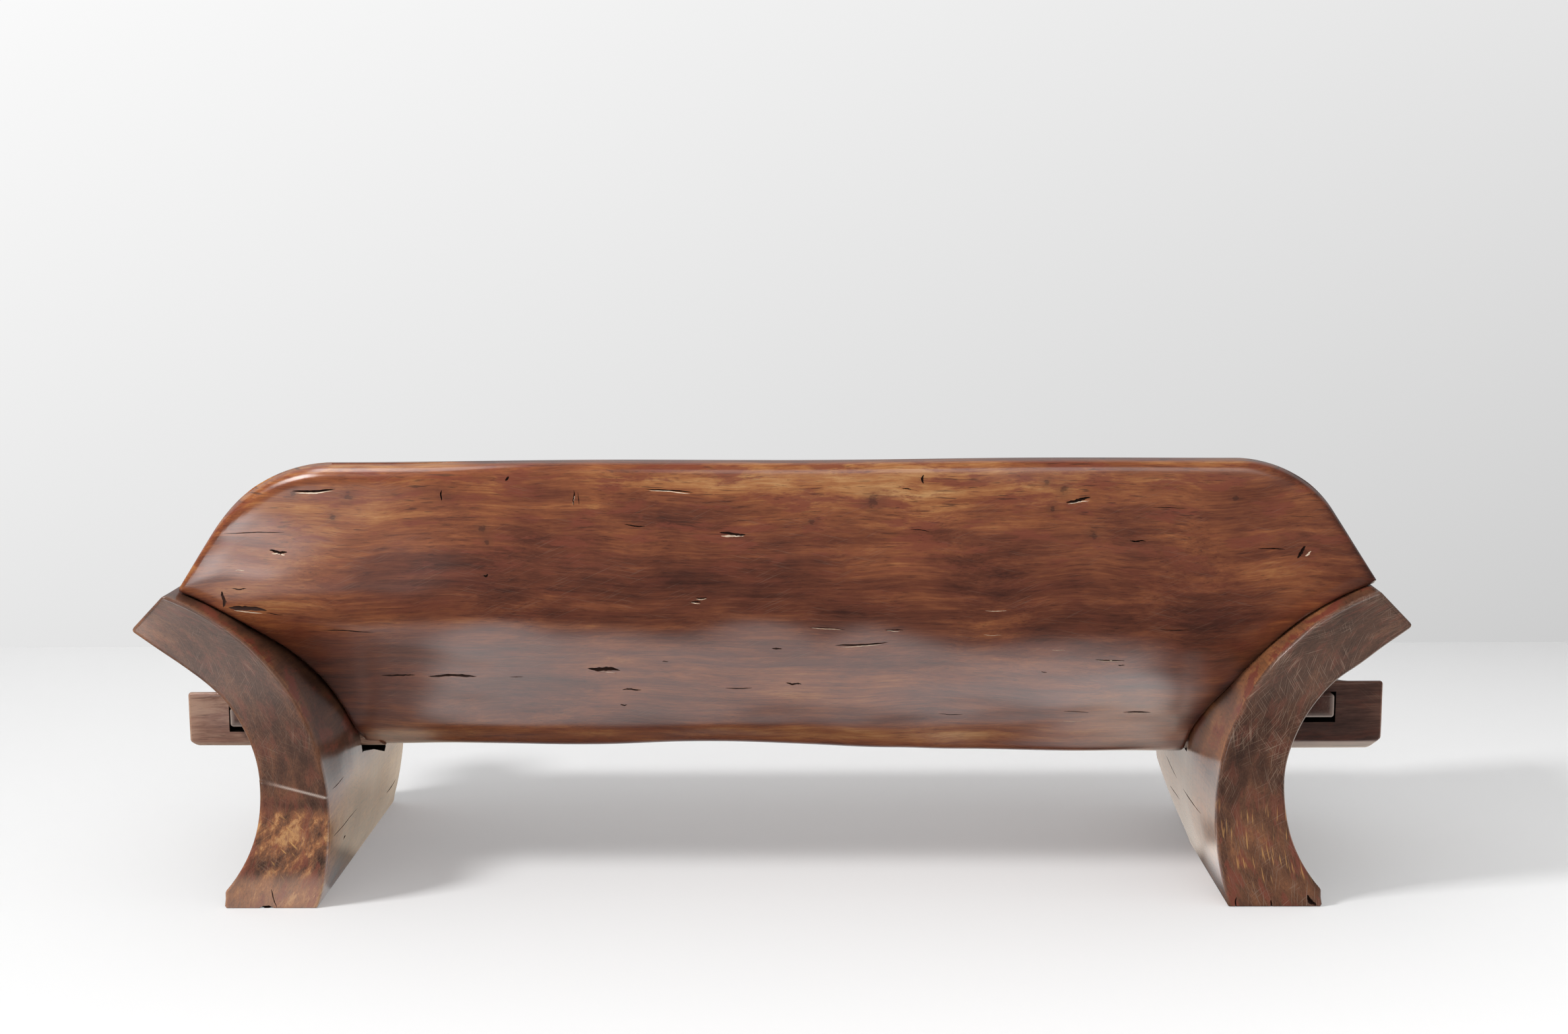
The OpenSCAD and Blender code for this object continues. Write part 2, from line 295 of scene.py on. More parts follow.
def trunk_side(line, places, outward):
    """One side of the trunk, outside (outward = 1) or inside (-1), as points (stations, rows, 3).

    A station is a fixed distance from the trunk's end near the ends and a share of the length between
    them. A row is a place on the section, moved along the section's normal by the unevenness, by the
    broad fall towards the wings' edges and by the rounded arris itself.
    """
    section = points_at(line, places)
    tangent = np.gradient(section, axis=0)
    tangent[:TOP_ROWS] = section[TOP_ROWS] - section[TOP_ROWS - 1]
    normal = np.stack([tangent[:, 1], -tangent[:, 0]], axis=1) * outward
    normal /= np.linalg.norm(normal, axis=1, keepdims=True)
    on_flat = np.minimum(places / (TOP_T / 2), 1)
    y, z = section[:, 0][None], section[:, 1][None]
    shares = np.linspace(0, 1, LENGTH_STEPS + 1)[1:-1, None]
    left, right = -LEG_WAIST - end_reach(z, -1), LEG_WAIST + end_reach(z, 1)
    x = np.vstack([
        left + EDGE_STEPS[:, None],
        (left + EDGE_STEPS[-1]) * (1 - shares) + (right - EDGE_STEPS[-1]) * shares,
        right - EDGE_STEPS[::-1, None],
    ])
    inset = np.zeros_like(x)
    for side in (-1, 1):
        d = edge_distance(side * x - LEG_WAIST, z + 0 * x, side)
        shoulder = SHOULDER * smooth((-0.45 - x) / 0.2) * smooth((z - 0.70) / 0.08) * (outward > 0)
        radius = np.interp(z, EDGE_HEIGHTS, EDGE_ARRIS[side]) * (1 + shoulder)
        fall = EDGE_ROLL[side] * np.interp(z, [WING_H - 0.05, WING_H, 0.80, TOP_H], [0.3, 1, 1, 0.4])
        here = arris(d, radius) + fall * np.clip(1 - d / EDGE_ROLL_WIDTH, 0, 1) ** 2
        inset = np.where(side * x > 0, here, inset)
    grown = np.clip((TOP_H - z) / 0.06, 0, 1)
    waves = swell(x, places[None] * 1.6, (0.52, 0.33, 0.24, 0.17), 0.0008, 4)
    waves = waves + swell(x * 0.5, places[None], (0.085, 0.062, 0.05), 0.00012, 9)
    move = (waves * (1 - 0.6 * (1 - grown)) - inset) * on_flat * (1 - smooth((y - 0.60) / 0.09))
    if outward > 0:
        flank = np.sin(math.pi * np.clip((z - 0.25) / 0.33, 0, 1)) ** 2
        move = move + flank * (places < HEEL_TURN) * (FLANK_SWELL + FLANK_TWIST * x / LEG_WAIST)
    y = y + normal[:, 0] * move
    z = z + normal[:, 1] * move
    z = z - (0.0015 + 0.0012 * np.sin(x * 7.3 + 1)) * smooth((z - 0.70) / 0.14)
    return np.stack([x, y, z + heel_wave(x) * smooth((0.30 - z) / 0.09)], axis=-1)


def heel_wave(x):
    """Height of the heel's underside above its level line: a fall from left to right and hewn waves."""
    fall = (HEEL_H - SOLE_H) - HEEL_FALL / 2 * x / LEG_WAIST
    humps = ((-0.11, 0.19, 0.011), (0.62, 0.22, -0.0035), (-0.66, 0.10, 0.003), (0.28, 0.06, 0.0016))
    return fall + sum(h * np.exp(-((x - place) / width) ** 2) for place, width, h in humps)


outer = trunk_side(outside, outside_places, 1)
inner = trunk_side(inside, inside_places, -1)


def trunk_cap(end, side):
    """Rows of points across the trunk's end face, kept on the wing's edge and on the scribed arc, and
    straight across near the top."""
    cap = straight_cap(np.vstack([outer[end], inner[end, -2:0:-1]]), 8)
    on_edge = side * (LEG_WAIST + end_reach(cap[..., 2], side))
    near_top = np.clip((cap[..., 2] - 0.80) / 0.045, 0, 1)
    cap[..., 0] = on_edge * (1 - near_top) + cap[..., 0] * near_top
    return cap


trunk = skin(
    "trunk", np.concatenate([outer, inner[:, -2:0:-1]], axis=1), trunk_cap(0, -1), trunk_cap(-1, 1)
)


def on_back(x, height):
    """Point of the trunk's back at x and a height, and its outward normal, both read from the skin."""
    station = np.abs(outer[:, FLANK_ROW, 0] - x).argmin()
    line = outer[station, TOP_ROWS:BACK_ROWS]
    row = np.abs(line[:, 2] - height).argmin()
    along = line[min(row + 2, len(line) - 1)] - line[max(row - 2, 0)]
    normal = np.array([0, along[2], -along[1]])
    place = np.array([x, np.interp(height, line[::-1, 2], line[::-1, 1]), height])
    return place, normal / np.linalg.norm(normal)


def shake(place, normal, level, length, gape, tilt, depth, rng):
    """A wedge-shaped split as a closed tool: rings of seven points along a wavering line.

    The line is tilted upwards from a level direction. The half width is half the gape times
    (1 - a^2.2)^0.7 for a from -1 to 1, roughened by chance, and the depth follows the same law. The tool
    stands a little proud so that it cuts the skin cleanly.
    """
    along = np.array(level) * math.cos(tilt) + np.array([0, 0, math.sin(tilt)])
    along -= normal * (along @ normal)
    along /= np.linalg.norm(along)
    side = np.cross(normal, along)
    a = np.linspace(-1, 1, 15)
    body = (1 - np.abs(a) ** 2.2) ** 0.7 + 0.03
    rough = rng.uniform(0.65, 1.25, (2, len(a)))
    up, down = gape / 2 * body * rough[0], gape / 2 * body * rough[1]
    waver = (0.18 * gape + 0.0004) * np.sin(a * rng.uniform(1.5, 4) + rng.uniform(0, math.tau))
    deep = depth * (0.25 + 0.75 * body)
    proud = 0.004
    profile = [(up, proud), (-down, proud), (-down, -0.2 * deep), (-0.45 * down, -0.75 * deep),
               (0.1 * up, -deep), (0.5 * up, -0.7 * deep), (up, -0.15 * deep)]
    return np.stack([
        place + along * (a * length / 2)[:, None] + side * (aside + waver)[:, None]
        + normal * (np.zeros_like(a) + high)[:, None]
        for aside, high in profile
    ], axis=1)


def tool(name, all_rings):
    """One mesh of closed tubes, each from rings of points with a flat face at either end."""
    points, faces, count = [], [], 0
    for rings in all_rings:
        stations, around = rings.shape[:2]
        grid = count + np.arange(stations * around).reshape(stations, around)
        faces += squares(grid, np.roll(grid, -1, axis=1)).tolist()
        faces += [grid[0, ::-1].tolist(), grid[-1].tolist()]
        points.append(rings.reshape(-1, 3))
        count += grid.size
    return closed_mesh(name, np.vstack(points), faces)


def carve(piece, cutter, bed):
    """Cuts a tool's shape out of a piece. The cut faces take the material bed."""
    cutter.data.materials.append(bed)
    cut = piece.modifiers.new("cut", "BOOLEAN")
    cut.object, cut.solver, cut.material_mode = cutter, "EXACT", "TRANSFER"
    graph = bpy.context.evaluated_depsgraph_get()
    piece.data = bpy.data.meshes.new_from_object(piece.evaluated_get(graph))
    piece.modifiers.clear()
    bpy.data.objects.remove(cutter)


# Shakes and gouges in the back: x, height, length, gape, tilt in degrees, depth
SHAKES = [
    (-0.973, 0.719, 0.120, 0.0016, 1, 0.006), (-0.926, 0.683, 0.034, 0.0060, -6, 0.006),
    (-1.003, 0.612, 0.028, 0.0022, 0, 0.004), (-0.807, 0.525, 0.102, 0.0028, -4, 0.006),
    (-0.733, 0.415, 0.070, 0.0060, -1, 0.014), (-0.626, 0.414, 0.098, 0.0092, 2, 0.016),
    (-0.499, 0.413, 0.030, 0.0024, -1, 0.006), (-0.366, 0.782, 0.030, 0.0022, 88, 0.006),
    (-0.357, 0.781, 0.024, 0.0014, 92, 0.005), (-0.615, 0.788, 0.020, 0.0030, 88, 0.006),
    (-0.534, 0.636, 0.009, 0.0050, 10, 0.006), (-0.491, 0.819, 0.010, 0.0050, 30, 0.005),
    (-0.186, 0.795, 0.092, 0.0026, -5, 0.010), (-0.068, 0.713, 0.050, 0.0054, -3, 0.006),
    (-0.252, 0.729, 0.040, 0.0024, -5, 0.005), (0.289, 0.814, 0.017, 0.0044, 86, 0.006),
    (0.259, 0.796, 0.018, 0.0020, -10, 0.004), (0.284, 0.718, 0.038, 0.0018, -7, 0.004),
    (-0.139, 0.583, 0.020, 0.0030, -3, 0.004), (-0.128, 0.591, 0.022, 0.0026, 3, 0.004),
    (0.109, 0.529, 0.072, 0.0016, -5, 0.005), (0.236, 0.524, 0.036, 0.0028, -3, 0.006),
    (0.175, 0.493, 0.102, 0.0050, 5, 0.016), (0.013, 0.483, 0.020, 0.0042, -10, 0.007),
    (-0.325, 0.433, 0.064, 0.0120, -7, 0.020), (-0.204, 0.452, 0.012, 0.0024, 0, 0.006),
    (-0.275, 0.383, 0.038, 0.0050, -2, 0.012), (-0.295, 0.344, 0.014, 0.0040, 0, 0.006),
    (-0.064, 0.387, 0.054, 0.0030, 2, 0.010), (0.044, 0.399, 0.031, 0.0060, -4, 0.012),
    (0.355, 0.319, 0.050, 0.0024, -6, 0.006), (0.580, 0.774, 0.048, 0.0062, 9, 0.008),
    (0.692, 0.696, 0.031, 0.0030, -2, 0.008), (0.751, 0.758, 0.068, 0.0012, -2, 0.004),
    (0.942, 0.680, 0.052, 0.0022, -2, 0.007), (0.997, 0.674, 0.028, 0.0060, 52, 0.010),
    (0.770, 0.523, 0.062, 0.0018, -1, 0.006), (0.651, 0.458, 0.058, 0.0028, -4, 0.008),
    (0.674, 0.447, 0.014, 0.0026, -6, 0.006), (0.528, 0.431, 0.012, 0.0022, 0, 0.005),
    (0.603, 0.328, 0.052, 0.0028, -7, 0.008), (0.723, 0.328, 0.056, 0.0050, 4, 0.010),
    (-1.035, 0.590, 0.036, 0.0080, 90, 0.003), (-0.990, 0.573, 0.074, 0.0095, -8, 0.003),
    (-0.940, 0.562, 0.034, 0.0018, -8, 0.005), (-0.856, 0.798, 0.084, 0.0042, 3, 0.007),
]
# Lower lips of the wider shakes, painted pale as a painted highlight where they face the light, and small
# breaks, which show pale wood: the same measures
LIPS = [
    (-0.856, 0.7945, 0.074, 0.0034, 3, 0.0020), (-0.926, 0.6790, 0.026, 0.0034, -6, 0.0020),
    (-0.990, 0.5668, 0.056, 0.0020, -9, 0.0012), (-0.733, 0.4108, 0.060, 0.0016, -1, 0.0010),
    (-0.626, 0.4080, 0.080, 0.0018, 2, 0.0010), (-0.186, 0.7930, 0.080, 0.0020, -5, 0.0012),
    (-0.068, 0.7090, 0.044, 0.0036, -3, 0.0020), (0.580, 0.7695, 0.042, 0.0030, 9, 0.0020),
    (1.010, 0.6710, 0.014, 0.0036, 35, 0.0010), (0.175, 0.4895, 0.080, 0.0018, 5, 0.0012),
    (-0.325, 0.4260, 0.050, 0.0022, -7, 0.0012), (0.236, 0.5215, 0.030, 0.0018, -3, 0.0012),
    (-0.128, 0.5885, 0.020, 0.0016, 3, 0.0010), (-0.139, 0.5805, 0.018, 0.0016, -3, 0.0010),
    (0.109, 0.5272, 0.060, 0.0014, -5, 0.0010), (0.651, 0.4560, 0.050, 0.0014, -4, 0.0010),
    (0.723, 0.3245, 0.046, 0.0022, 4, 0.0012), (-0.770, 0.8000, 0.026, 0.0014, 4, 0.0010),
    (0.428, 0.5630, 0.042, 0.0014, 0, 0.0010), (0.424, 0.5130, 0.036, 0.0012, 0, 0.0010),
    (0.551, 0.4800, 0.026, 0.0012, -4, 0.0010), (-1.000, 0.6480, 0.018, 0.0014, 0, 0.0010),
    (-0.366, 0.7800, 0.022, 0.0014, 84, 0.0010), (0.600, 0.3000, 0.040, 0.0012, 2, 0.0010),
    (-0.843, 0.2600, 0.030, 0.0070, -62, 0.0050), (-0.990, 0.7800, 0.016, 0.0080, 20, 0.0030),
]
chance = np.random.default_rng(21)
shakes, lips = (
    [
        shake(*on_back(x, height), (1, 0, 0), length, gape, math.radians(tilt), depth, chance)
        for x, height, length, gape, tilt, depth in measures
    ]
    for measures in (SHAKES, LIPS)
)


def add(tree, kind, inputs=None, output=0, **settings):
    """Adds a shader node. An input is a value or another node's output. Returns one output."""
    node = tree.nodes.new("ShaderNode" + kind)
    for name, value in settings.items():
        setattr(node, name, value)
    for name, value in (inputs or {}).items():
        if isinstance(value, bpy.types.NodeSocket):
            tree.links.new(value, node.inputs[name])
        else:
            node.inputs[name].default_value = value
    return node.outputs[output]


def blank(name):
    """A material with only its surface shader and output, as (material, tree, shader)."""
    material = bpy.data.materials.new(name)
    material.use_nodes = True
    tree = material.node_tree
    shader = next(n for n in tree.nodes if n.type == "BSDF_PRINCIPLED")
    return material, tree, shader


def times(tree, value, factor, offset=0.0):
    """value * factor + offset."""
    return add(tree, "Math", {0: value, 1: factor, 2: offset}, operation="MULTIPLY_ADD")


def plus(tree, a, b):
    """a + b."""
    return add(tree, "Math", {0: a, 1: b}, operation="ADD")


def grained(tree, place, stretch, detail=4.0, rough=0.6):
    """Noise stretched along the grain: the place is multiplied by stretch, in waves per metre."""
    scaled = add(tree, "VectorMath", {0: place, 1: stretch}, operation="MULTIPLY")
    return add(tree, "TexNoise", {"Vector": scaled, "Scale": 1.0, "Detail": detail, "Roughness": rough})


def ramp(tree, value, stops):
    """Colour from a value, through stops (position, colour)."""
    node = tree.nodes.new("ShaderNodeValToRGB")
    tree.links.new(value, node.inputs[0])
    while len(node.color_ramp.elements) < len(stops):
        node.color_ramp.elements.new(0.5)
    for element, (position, colour) in zip(node.color_ramp.elements, stops):
        element.position, element.color = position, (*colour, 1)
    return node.outputs[0]


def above(tree, value, low, high):
    """0 below low, 1 above high, smooth between."""
    ends = {"Value": value, "From Min": low, "From Max": high}
    return add(tree, "MapRange", ends, interpolation_type="SMOOTHSTEP")


def mix(tree, factor, a, b):
    """Colour a where the factor is 0 and colour b where it is 1."""
    node = tree.nodes.new("ShaderNodeMix")
    node.data_type = "RGBA"
    for socket, value in ((node.inputs[0], factor), (node.inputs[6], a), (node.inputs[7], b)):
        if isinstance(value, bpy.types.NodeSocket):
            tree.links.new(value, socket)
        else:
            socket.default_value = value if isinstance(value, float) else (*value, 1)
    return node.outputs[2]


def painted(tree, name):
    """A number that is painted on the piece."""
    return add(tree, "Attribute", output=2, attribute_name=name)


# The pale colour is bare wood in some places, and painted highlights and reflections in others.
PORE, PALE_BARE_AND_SHEEN = (0.030, 0.010, 0.006), (0.62, 0.52, 0.45)
KNOT_HALO, KNOT_HEART = (0.12, 0.036, 0.016), (0.040, 0.014, 0.009)


def wood(name, stops, fine=(1, 1, 1), red=(0.22, 0.050, 0.024), figure=1.0, wax=1.6, strokes=(), knots=()):
    """Waxed old wood in flow coordinates: along the grain, across it and into it, all in metres.

    The tone of a spot is its painted tone plus streaks, fibres and mortling, and the stops turn it into
    a colour. Painted blush reddens a spot, wear lightens it, raggedness breaks it up into torn patches,
    and the painted paleness makes it pale: bare wood in some places, painted highlights and
    reflections in others. A family of strokes has an axis and an angle to turn by, waves per metre, the
    painted number that scales it and a colour. A knot has a place and a radius. Fine multiplies the
    pattern's waves in each direction, and the figure is the strength of the streaks. The wax is the
    coat's index, and painted waves make it uneven.
    """
    material, tree, shader = blank(name)
    straight = add(tree, "Attribute", output=1, attribute_name="flow")
    drift = add(tree, "TexNoise", {"Vector": straight, "Scale": 2.2, "Detail": 2.0}, output=1)
    drift = add(tree, "VectorMath", {0: drift, 1: (0.5, 0.5, 0.5)}, operation="SUBTRACT")
    flow = add(tree, "VectorMath", {0: drift, 1: (0.10, 0.10, 0.10), 2: straight}, operation="MULTIPLY_ADD")
    tone, worn, blush, bared = (painted(tree, number) for number in ("tone", "worn", "blush", "bared"))

    def pattern(along, over, detail, rough):
        stretch = (along * fine[0], over * fine[1], over * fine[2])
        return grained(tree, flow, stretch, detail, rough)

    streak = pattern(2.6, 46, 7.0, 0.66)
    fibre = pattern(13, 300, 4.0, 0.65)
    mottle = pattern(5.5, 12, 6.0, 0.62)
    cloud = pattern(2.0, 4.0, 3.0, 0.5)
    pore = pattern(24, 480, 2.0, 0.5)
    stain = pattern(9, 34, 5.0, 0.66)
    value = plus(tree, times(tree, streak, 0.80, -0.40), times(tree, mottle, 0.74, -0.37))
    value = times(tree, plus(tree, value, times(tree, cloud, 0.26, -0.13)), figure)
    value = plus(tree, value, times(tree, fibre, 0.42, -0.21))
    value = plus(tree, plus(tree, value, tone), times(tree, worn, 0.22))
    ragged = grained(tree, straight, (30, 34, 44), 8.0, 0.72)
    value = plus(tree, value, times(tree, times(tree, ragged, 2.2, -1.05), painted(tree, "ragged")))
    colour = ramp(tree, value, stops)
    reddened = times(tree, above(tree, stain, 0.50, 0.62), blush)
    colour = mix(tree, reddened, colour, red)
    dark_pore = times(tree, above(tree, pore, 0.60, 0.70), 0.45)
    colour = mix(tree, dark_pore, colour, PORE)
    flat = add(tree, "VectorMath", {0: straight, 1: (1, 1, 0)}, operation="MULTIPLY")
    gnarl = grained(tree, straight, (70, 150, 0), 3.0, 0.6)
    for along, over, radius in knots:
        away = add(tree, "VectorMath", {0: flat, 1: (along, over, 0)}, output=1, operation="DISTANCE")
        away = plus(tree, away, times(tree, gnarl, 3 * radius, -1.5 * radius))
        halo = times(tree, above(tree, away, radius * 3.2, radius), 0.30)
        heart = times(tree, above(tree, away, radius * 1.1, radius * 0.4), 0.55)
        colour = mix(tree, halo, colour, KNOT_HALO)
        colour = mix(tree, heart, colour, KNOT_HEART)
    for axis, angle, stretch, number, shade in strokes:
        turn = {"Vector": straight, "Angle": math.radians(angle)}
        turned = add(tree, "VectorRotate", turn, rotation_type=axis)
        stroke = above(tree, grained(tree, turned, stretch, 1.0, 0.4), 0.63, 0.70)
        stroke = times(tree, stroke, above(tree, grained(tree, turned, (9, 9, 9), 2.0, 0.5), 0.42, 0.60))
        colour = mix(tree, times(tree, stroke, painted(tree, number)), colour, shade)
    # Pale where painted so: bare wood, and painted highlights and reflections.
    colour = mix(tree, bared, colour, PALE_BARE_AND_SHEEN)
    tree.links.new(colour, shader.inputs["Base Color"])
    tree.links.new(times(tree, streak, 0.20, 0.32), shader.inputs["Roughness"])
    height = plus(tree, times(tree, fibre, 0.5), times(tree, pore, -0.5))
    height = plus(tree, height, times(tree, streak, 1.2))
    bump = add(tree, "Bump", {"Height": height, "Strength": 0.35, "Distance": 0.0006})
    wave = times(tree, grained(tree, straight, (7, 2.5, 2.5), 4.0, 0.55), painted(tree, "waves"))
    bump = add(tree, "Bump", {"Height": wave, "Distance": 0.010, "Normal": bump})
    tree.links.new(bump, shader.inputs["Normal"])
    shader.inputs["Specular IOR Level"].default_value = 0.2
    shader.inputs["Coat Weight"].default_value = 1.0
    shader.inputs["Coat IOR"].default_value = wax
    shader.inputs["Coat Roughness"].default_value = 0.2
    return material


def split_wood(name, colour):
    """Dull wood of one colour with fine noise: dark inside a split, near-black as painted shade inside a
    hole, and pale on a break and as a painted highlight on a shake's lit lower lip.
    """
    material, tree, shader = blank(name)
    place = add(tree, "TexCoord", output=3)
    noise = grained(tree, place, (60, 400, 400))
    shade = mix(tree, noise, tuple(c * 0.4 for c in colour), tuple(c * 1.5 for c in colour))
    tree.links.new(shade, shader.inputs["Base Color"])
    shader.inputs["Roughness"].default_value = 0.8
    return material


SHARP_ANGLE = math.radians(38)


def finish_mesh(piece, materials):
    """Puts the materials on a piece, shades it smooth and keeps its sharp edges."""
    mesh = piece.data
    for k, material in enumerate(materials):
        if k < len(mesh.materials):
            mesh.materials[k] = material
        else:
            mesh.materials.append(material)
    mesh.polygons.foreach_set("use_smooth", np.ones(len(mesh.polygons), bool))
    mesh.set_sharp_from_angle(angle=SHARP_ANGLE)


def positions(piece):
    """A piece's vertices in the bench's own measures."""
    where = np.empty(len(piece.data.vertices) * 3)
    piece.data.vertices.foreach_get("co", where)
    return where.reshape(-1, 3) - (MIDDLE, BACK, 0)


def paint(piece, flow, **numbers):
    """Stores for each vertex its flow coordinates and the numbers that the materials read."""
    layer = piece.data.attributes.new("flow", "FLOAT_VECTOR", "POINT")
    layer.data.foreach_set("vector", np.stack(flow, axis=1).astype(np.float32).ravel())
    for name, values in numbers.items():
        layer = piece.data.attributes.new(name, "FLOAT", "POINT")
        layer.data.foreach_set("value", (values + 0 * flow[0]).astype(np.float32))


TRUNK_STOPS = [
    (0.00, (0.020, 0.007, 0.004)), (0.25, (0.078, 0.019, 0.009)), (0.48, (0.168, 0.043, 0.017)),
    (0.66, (0.285, 0.084, 0.027)), (0.82, (0.415, 0.160, 0.050)), (1.00, (0.560, 0.290, 0.110)),
]
# Patches of lighter and darker wood on the back: x, height, half length, half height, change of tone
PATCHES = [
    (-0.75, 0.790, 0.22, 0.060, 0.10), (-0.45, 0.825, 0.22, 0.035, 0.09), (-0.20, 0.815, 0.13, 0.030, 0.16),
    (0.05, 0.815, 0.20, 0.035, 0.14), (0.27, 0.800, 0.22, 0.050, 0.27), (0.90, 0.845, 0.50, 0.012, 0.14),
    (-0.90, 0.700, 0.13, 0.070, 0.16), (-0.68, 0.740, 0.12, 0.040, 0.08), (0.47, 0.735, 0.09, 0.030, 0.14),
    (0.30, 0.670, 0.14, 0.030, 0.08), (-0.05, 0.735, 0.09, 0.020, 0.08), (0.55, 0.790, 0.12, 0.050, 0.10),
    (-0.50, 0.635, 0.15, 0.050, -0.18), (-0.20, 0.745, 0.12, 0.024, -0.16),
    (-0.42, 0.690, 0.11, 0.040, -0.08),
    (0.00, 0.620, 0.22, 0.060, -0.09), (-0.22, 0.590, 0.16, 0.050, -0.08), (0.50, 0.610, 0.16, 0.070, -0.12),
    (0.86, 0.500, 0.12, 0.110, -0.09), (-0.90, 0.440, 0.10, 0.060, -0.12),
    (0.78, 0.755, 0.10, 0.020, -0.10),
    (0.92, 0.640, 0.20, 0.090, 0.07), (-0.66, 0.550, 0.30, 0.035, 0.14), (0.00, 0.575, 1.00, 0.030, 0.05),
    (0.72, 0.580, 0.20, 0.060, -0.05), (-0.95, 0.590, 0.12, 0.045, 0.32), (-0.85, 0.815, 0.10, 0.030, 0.13),
    (0.00, 0.720, 1.20, 0.110, 0.035), (0.00, 0.430, 0.80, 0.060, 0.07), (0.10, 0.262, 0.90, 0.030, 0.30),
    (0.35, 0.262, 0.25, 0.030, 0.10), (0.70, 0.300, 0.20, 0.060, 0.10),
]
# Knots in the back: x, height, radius
KNOTS = [
    (0.553, 0.793, 0.008), (0.609, 0.708, 0.009), (0.521, 0.806, 0.006), (0.532, 0.757, 0.006),
    (0.196, 0.773, 0.012), (-0.822, 0.749, 0.006), (-0.791, 0.788, 0.008), (0.873, 0.775, 0.006),
    (-0.895, 0.793, 0.007), (-0.540, 0.725, 0.007), (-0.530, 0.700, 0.005), (0.080, 0.735, 0.007),
]
SCRATCH = (0.29, 0.185, 0.130)
trunk_wood = wood("trunk_wood", TRUNK_STOPS, wax=1.9, knots=KNOTS, strokes=[
    ("Z_AXIS", 12, (14, 520, 0), "scratched", SCRATCH), ("Z_AXIS", -24, (14, 520, 0), "scratched", SCRATCH),
    ("Z_AXIS", 1, (20, 230, 0), "pitted", (0.062, 0.020, 0.010)),
])
dark_split = split_wood("dark_split", (0.060, 0.024, 0.015))
pale_break_and_highlight = split_wood("pale_break_and_highlight", (0.80, 0.66, 0.52))
# The lips' cut faces take the pale material: a painted highlight on the lips, bare wood on the breaks.
carve(trunk, tool("lips", lips), pale_break_and_highlight)
carve(trunk, tool("shakes", shakes), dark_split)
finish_mesh(trunk, [trunk_wood, pale_break_and_highlight, dark_split])


def trunk_look(x, y, z):
    """Painted numbers for the trunk: patches on the back, scribed ends darkened by dirt and by painted
    shade in the joints with the legs, and free edges that are worn pale at the left end, dull along the
    top and darkened on the right wing as painted shade on the edge that faces away from the lamp."""
    tone = 0.47 + 0.08 * smooth((z - 0.66) / 0.14) - 0.04 * smooth((-0.2 - x) / 0.5)
    on_the_back = smooth((0.36 - y) / 0.1)
    for place, height, long, high, change in PATCHES:
        tone += change * on_the_back * np.exp(-((x - place) / long) ** 2 - ((z - height) / high) ** 2)
    free_edge, scribed_edge = np.full(len(x), 1.0), np.full(len(x), 1.0)
    for side in (-1, 1):
        reach = side * x - LEG_WAIST
        free_edge = np.minimum(free_edge, edge_distance(reach, z, side) + (z < WING_H))
        scribed_edge = np.minimum(scribed_edge, scribe_reach(z) - reach)
    right_wing, past_left_end = x > 0.9, smooth((x + 0.62) / 0.1)
    # Darker along the scribed ends: dirt, and painted shade in the joints with the legs.
    tone -= 0.34 * np.exp(-(np.clip(scribed_edge, 0, None) / 0.015) ** 2)
    # Darker along the right wing's free edge: painted shade where it faces away from the lamp.
    tone -= 0.24 * np.exp(-(free_edge / 0.013) ** 2) * right_wing
    tone -= 0.16 * np.exp(-(free_edge / 0.004) ** 2) * past_left_end * ~right_wing
    return {
        "tone": tone, "worn": np.exp(-(free_edge / 0.010) ** 2) * ~right_wing * (1 - 0.9 * past_left_end),
        "blush": 0.20 + 0.60 * smooth((z - 0.60) / 0.12), "scratched": 0.16,
        "pitted": 0.25 + 0.45 * smooth((z - 0.66) / 0.10),
    }


x, y, z = positions(trunk).T
paint(trunk, (x, z, y), **trunk_look(x, y, z))
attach(trunk, "root")
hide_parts("seat_back")


# The tenons. The trunk's heel runs on at each end as a squared bar, through the leg and out on its far
# side, with eased edges, a chamfer under each end and a mortise for the key. Outside the leg the top is
# hewn down towards the sitter's side.
TENON_Y, TENON_W = 0.305, 0.122
# Underside, height and reach of a tenon, the nip that slopes its end, the height and slope of the
# chamfer, and the fall of the hewn top by the leg; then the fall past the key
TENON = {
    -1: {"z": 0.236, "h": 0.115, "reach": 0.357, "nip": 0.012, "bevel": 0.010, "slope": 0.4, "fall": 0.022},
    1: {"z": 0.223, "h": 0.144, "reach": 0.396, "nip": 0.024, "bevel": 0.019, "slope": 0.5, "fall": 0.016},
}
TENON_END_FALL = 0.030
TENON_EDGE_R, TENON_END_R, TENON_ROOT, TENON_TIP, TENON_STEPS = 0.009, 0.006, 0.03, 0.03, 60
# Base tone of each tenon: the left one is painted lighter and the right one darker, painted light and shade
# from the lamp on the left.
TENON_SHADED_TONE = {-1: 0.90, 1: 0.53}
HOLLOW_R, HOLLOW_H, WAIST_T = 0.271, 0.236, 0.131
# Width and height of a key at its narrow end, and the height of its flat top
KEY = {
    -1: {"w": 0.120, "h": 0.038, "top": TENON[-1]["z"] + 0.086},
    1: {"w": 0.139, "h": 0.047, "top": TENON[1]["z"] + 0.121},
}
KEY_TAPER, KEY_RISE, KEY_NOSE, KEY_HEAD, KEY_GAP = 0.009, 0.020, 0.025, 0.034, 0.0002
KEY_BACK, KEY_FRONT = TENON_Y - KEY_NOSE, TENON_Y + TENON_W + KEY_HEAD
KEY_EDGE_R, KEY_END_R, KEY_STEPS, KEY_CAP_ROWS = 0.006, 0.005, 24, 20
KEY_SLOT_PAST = 0.005


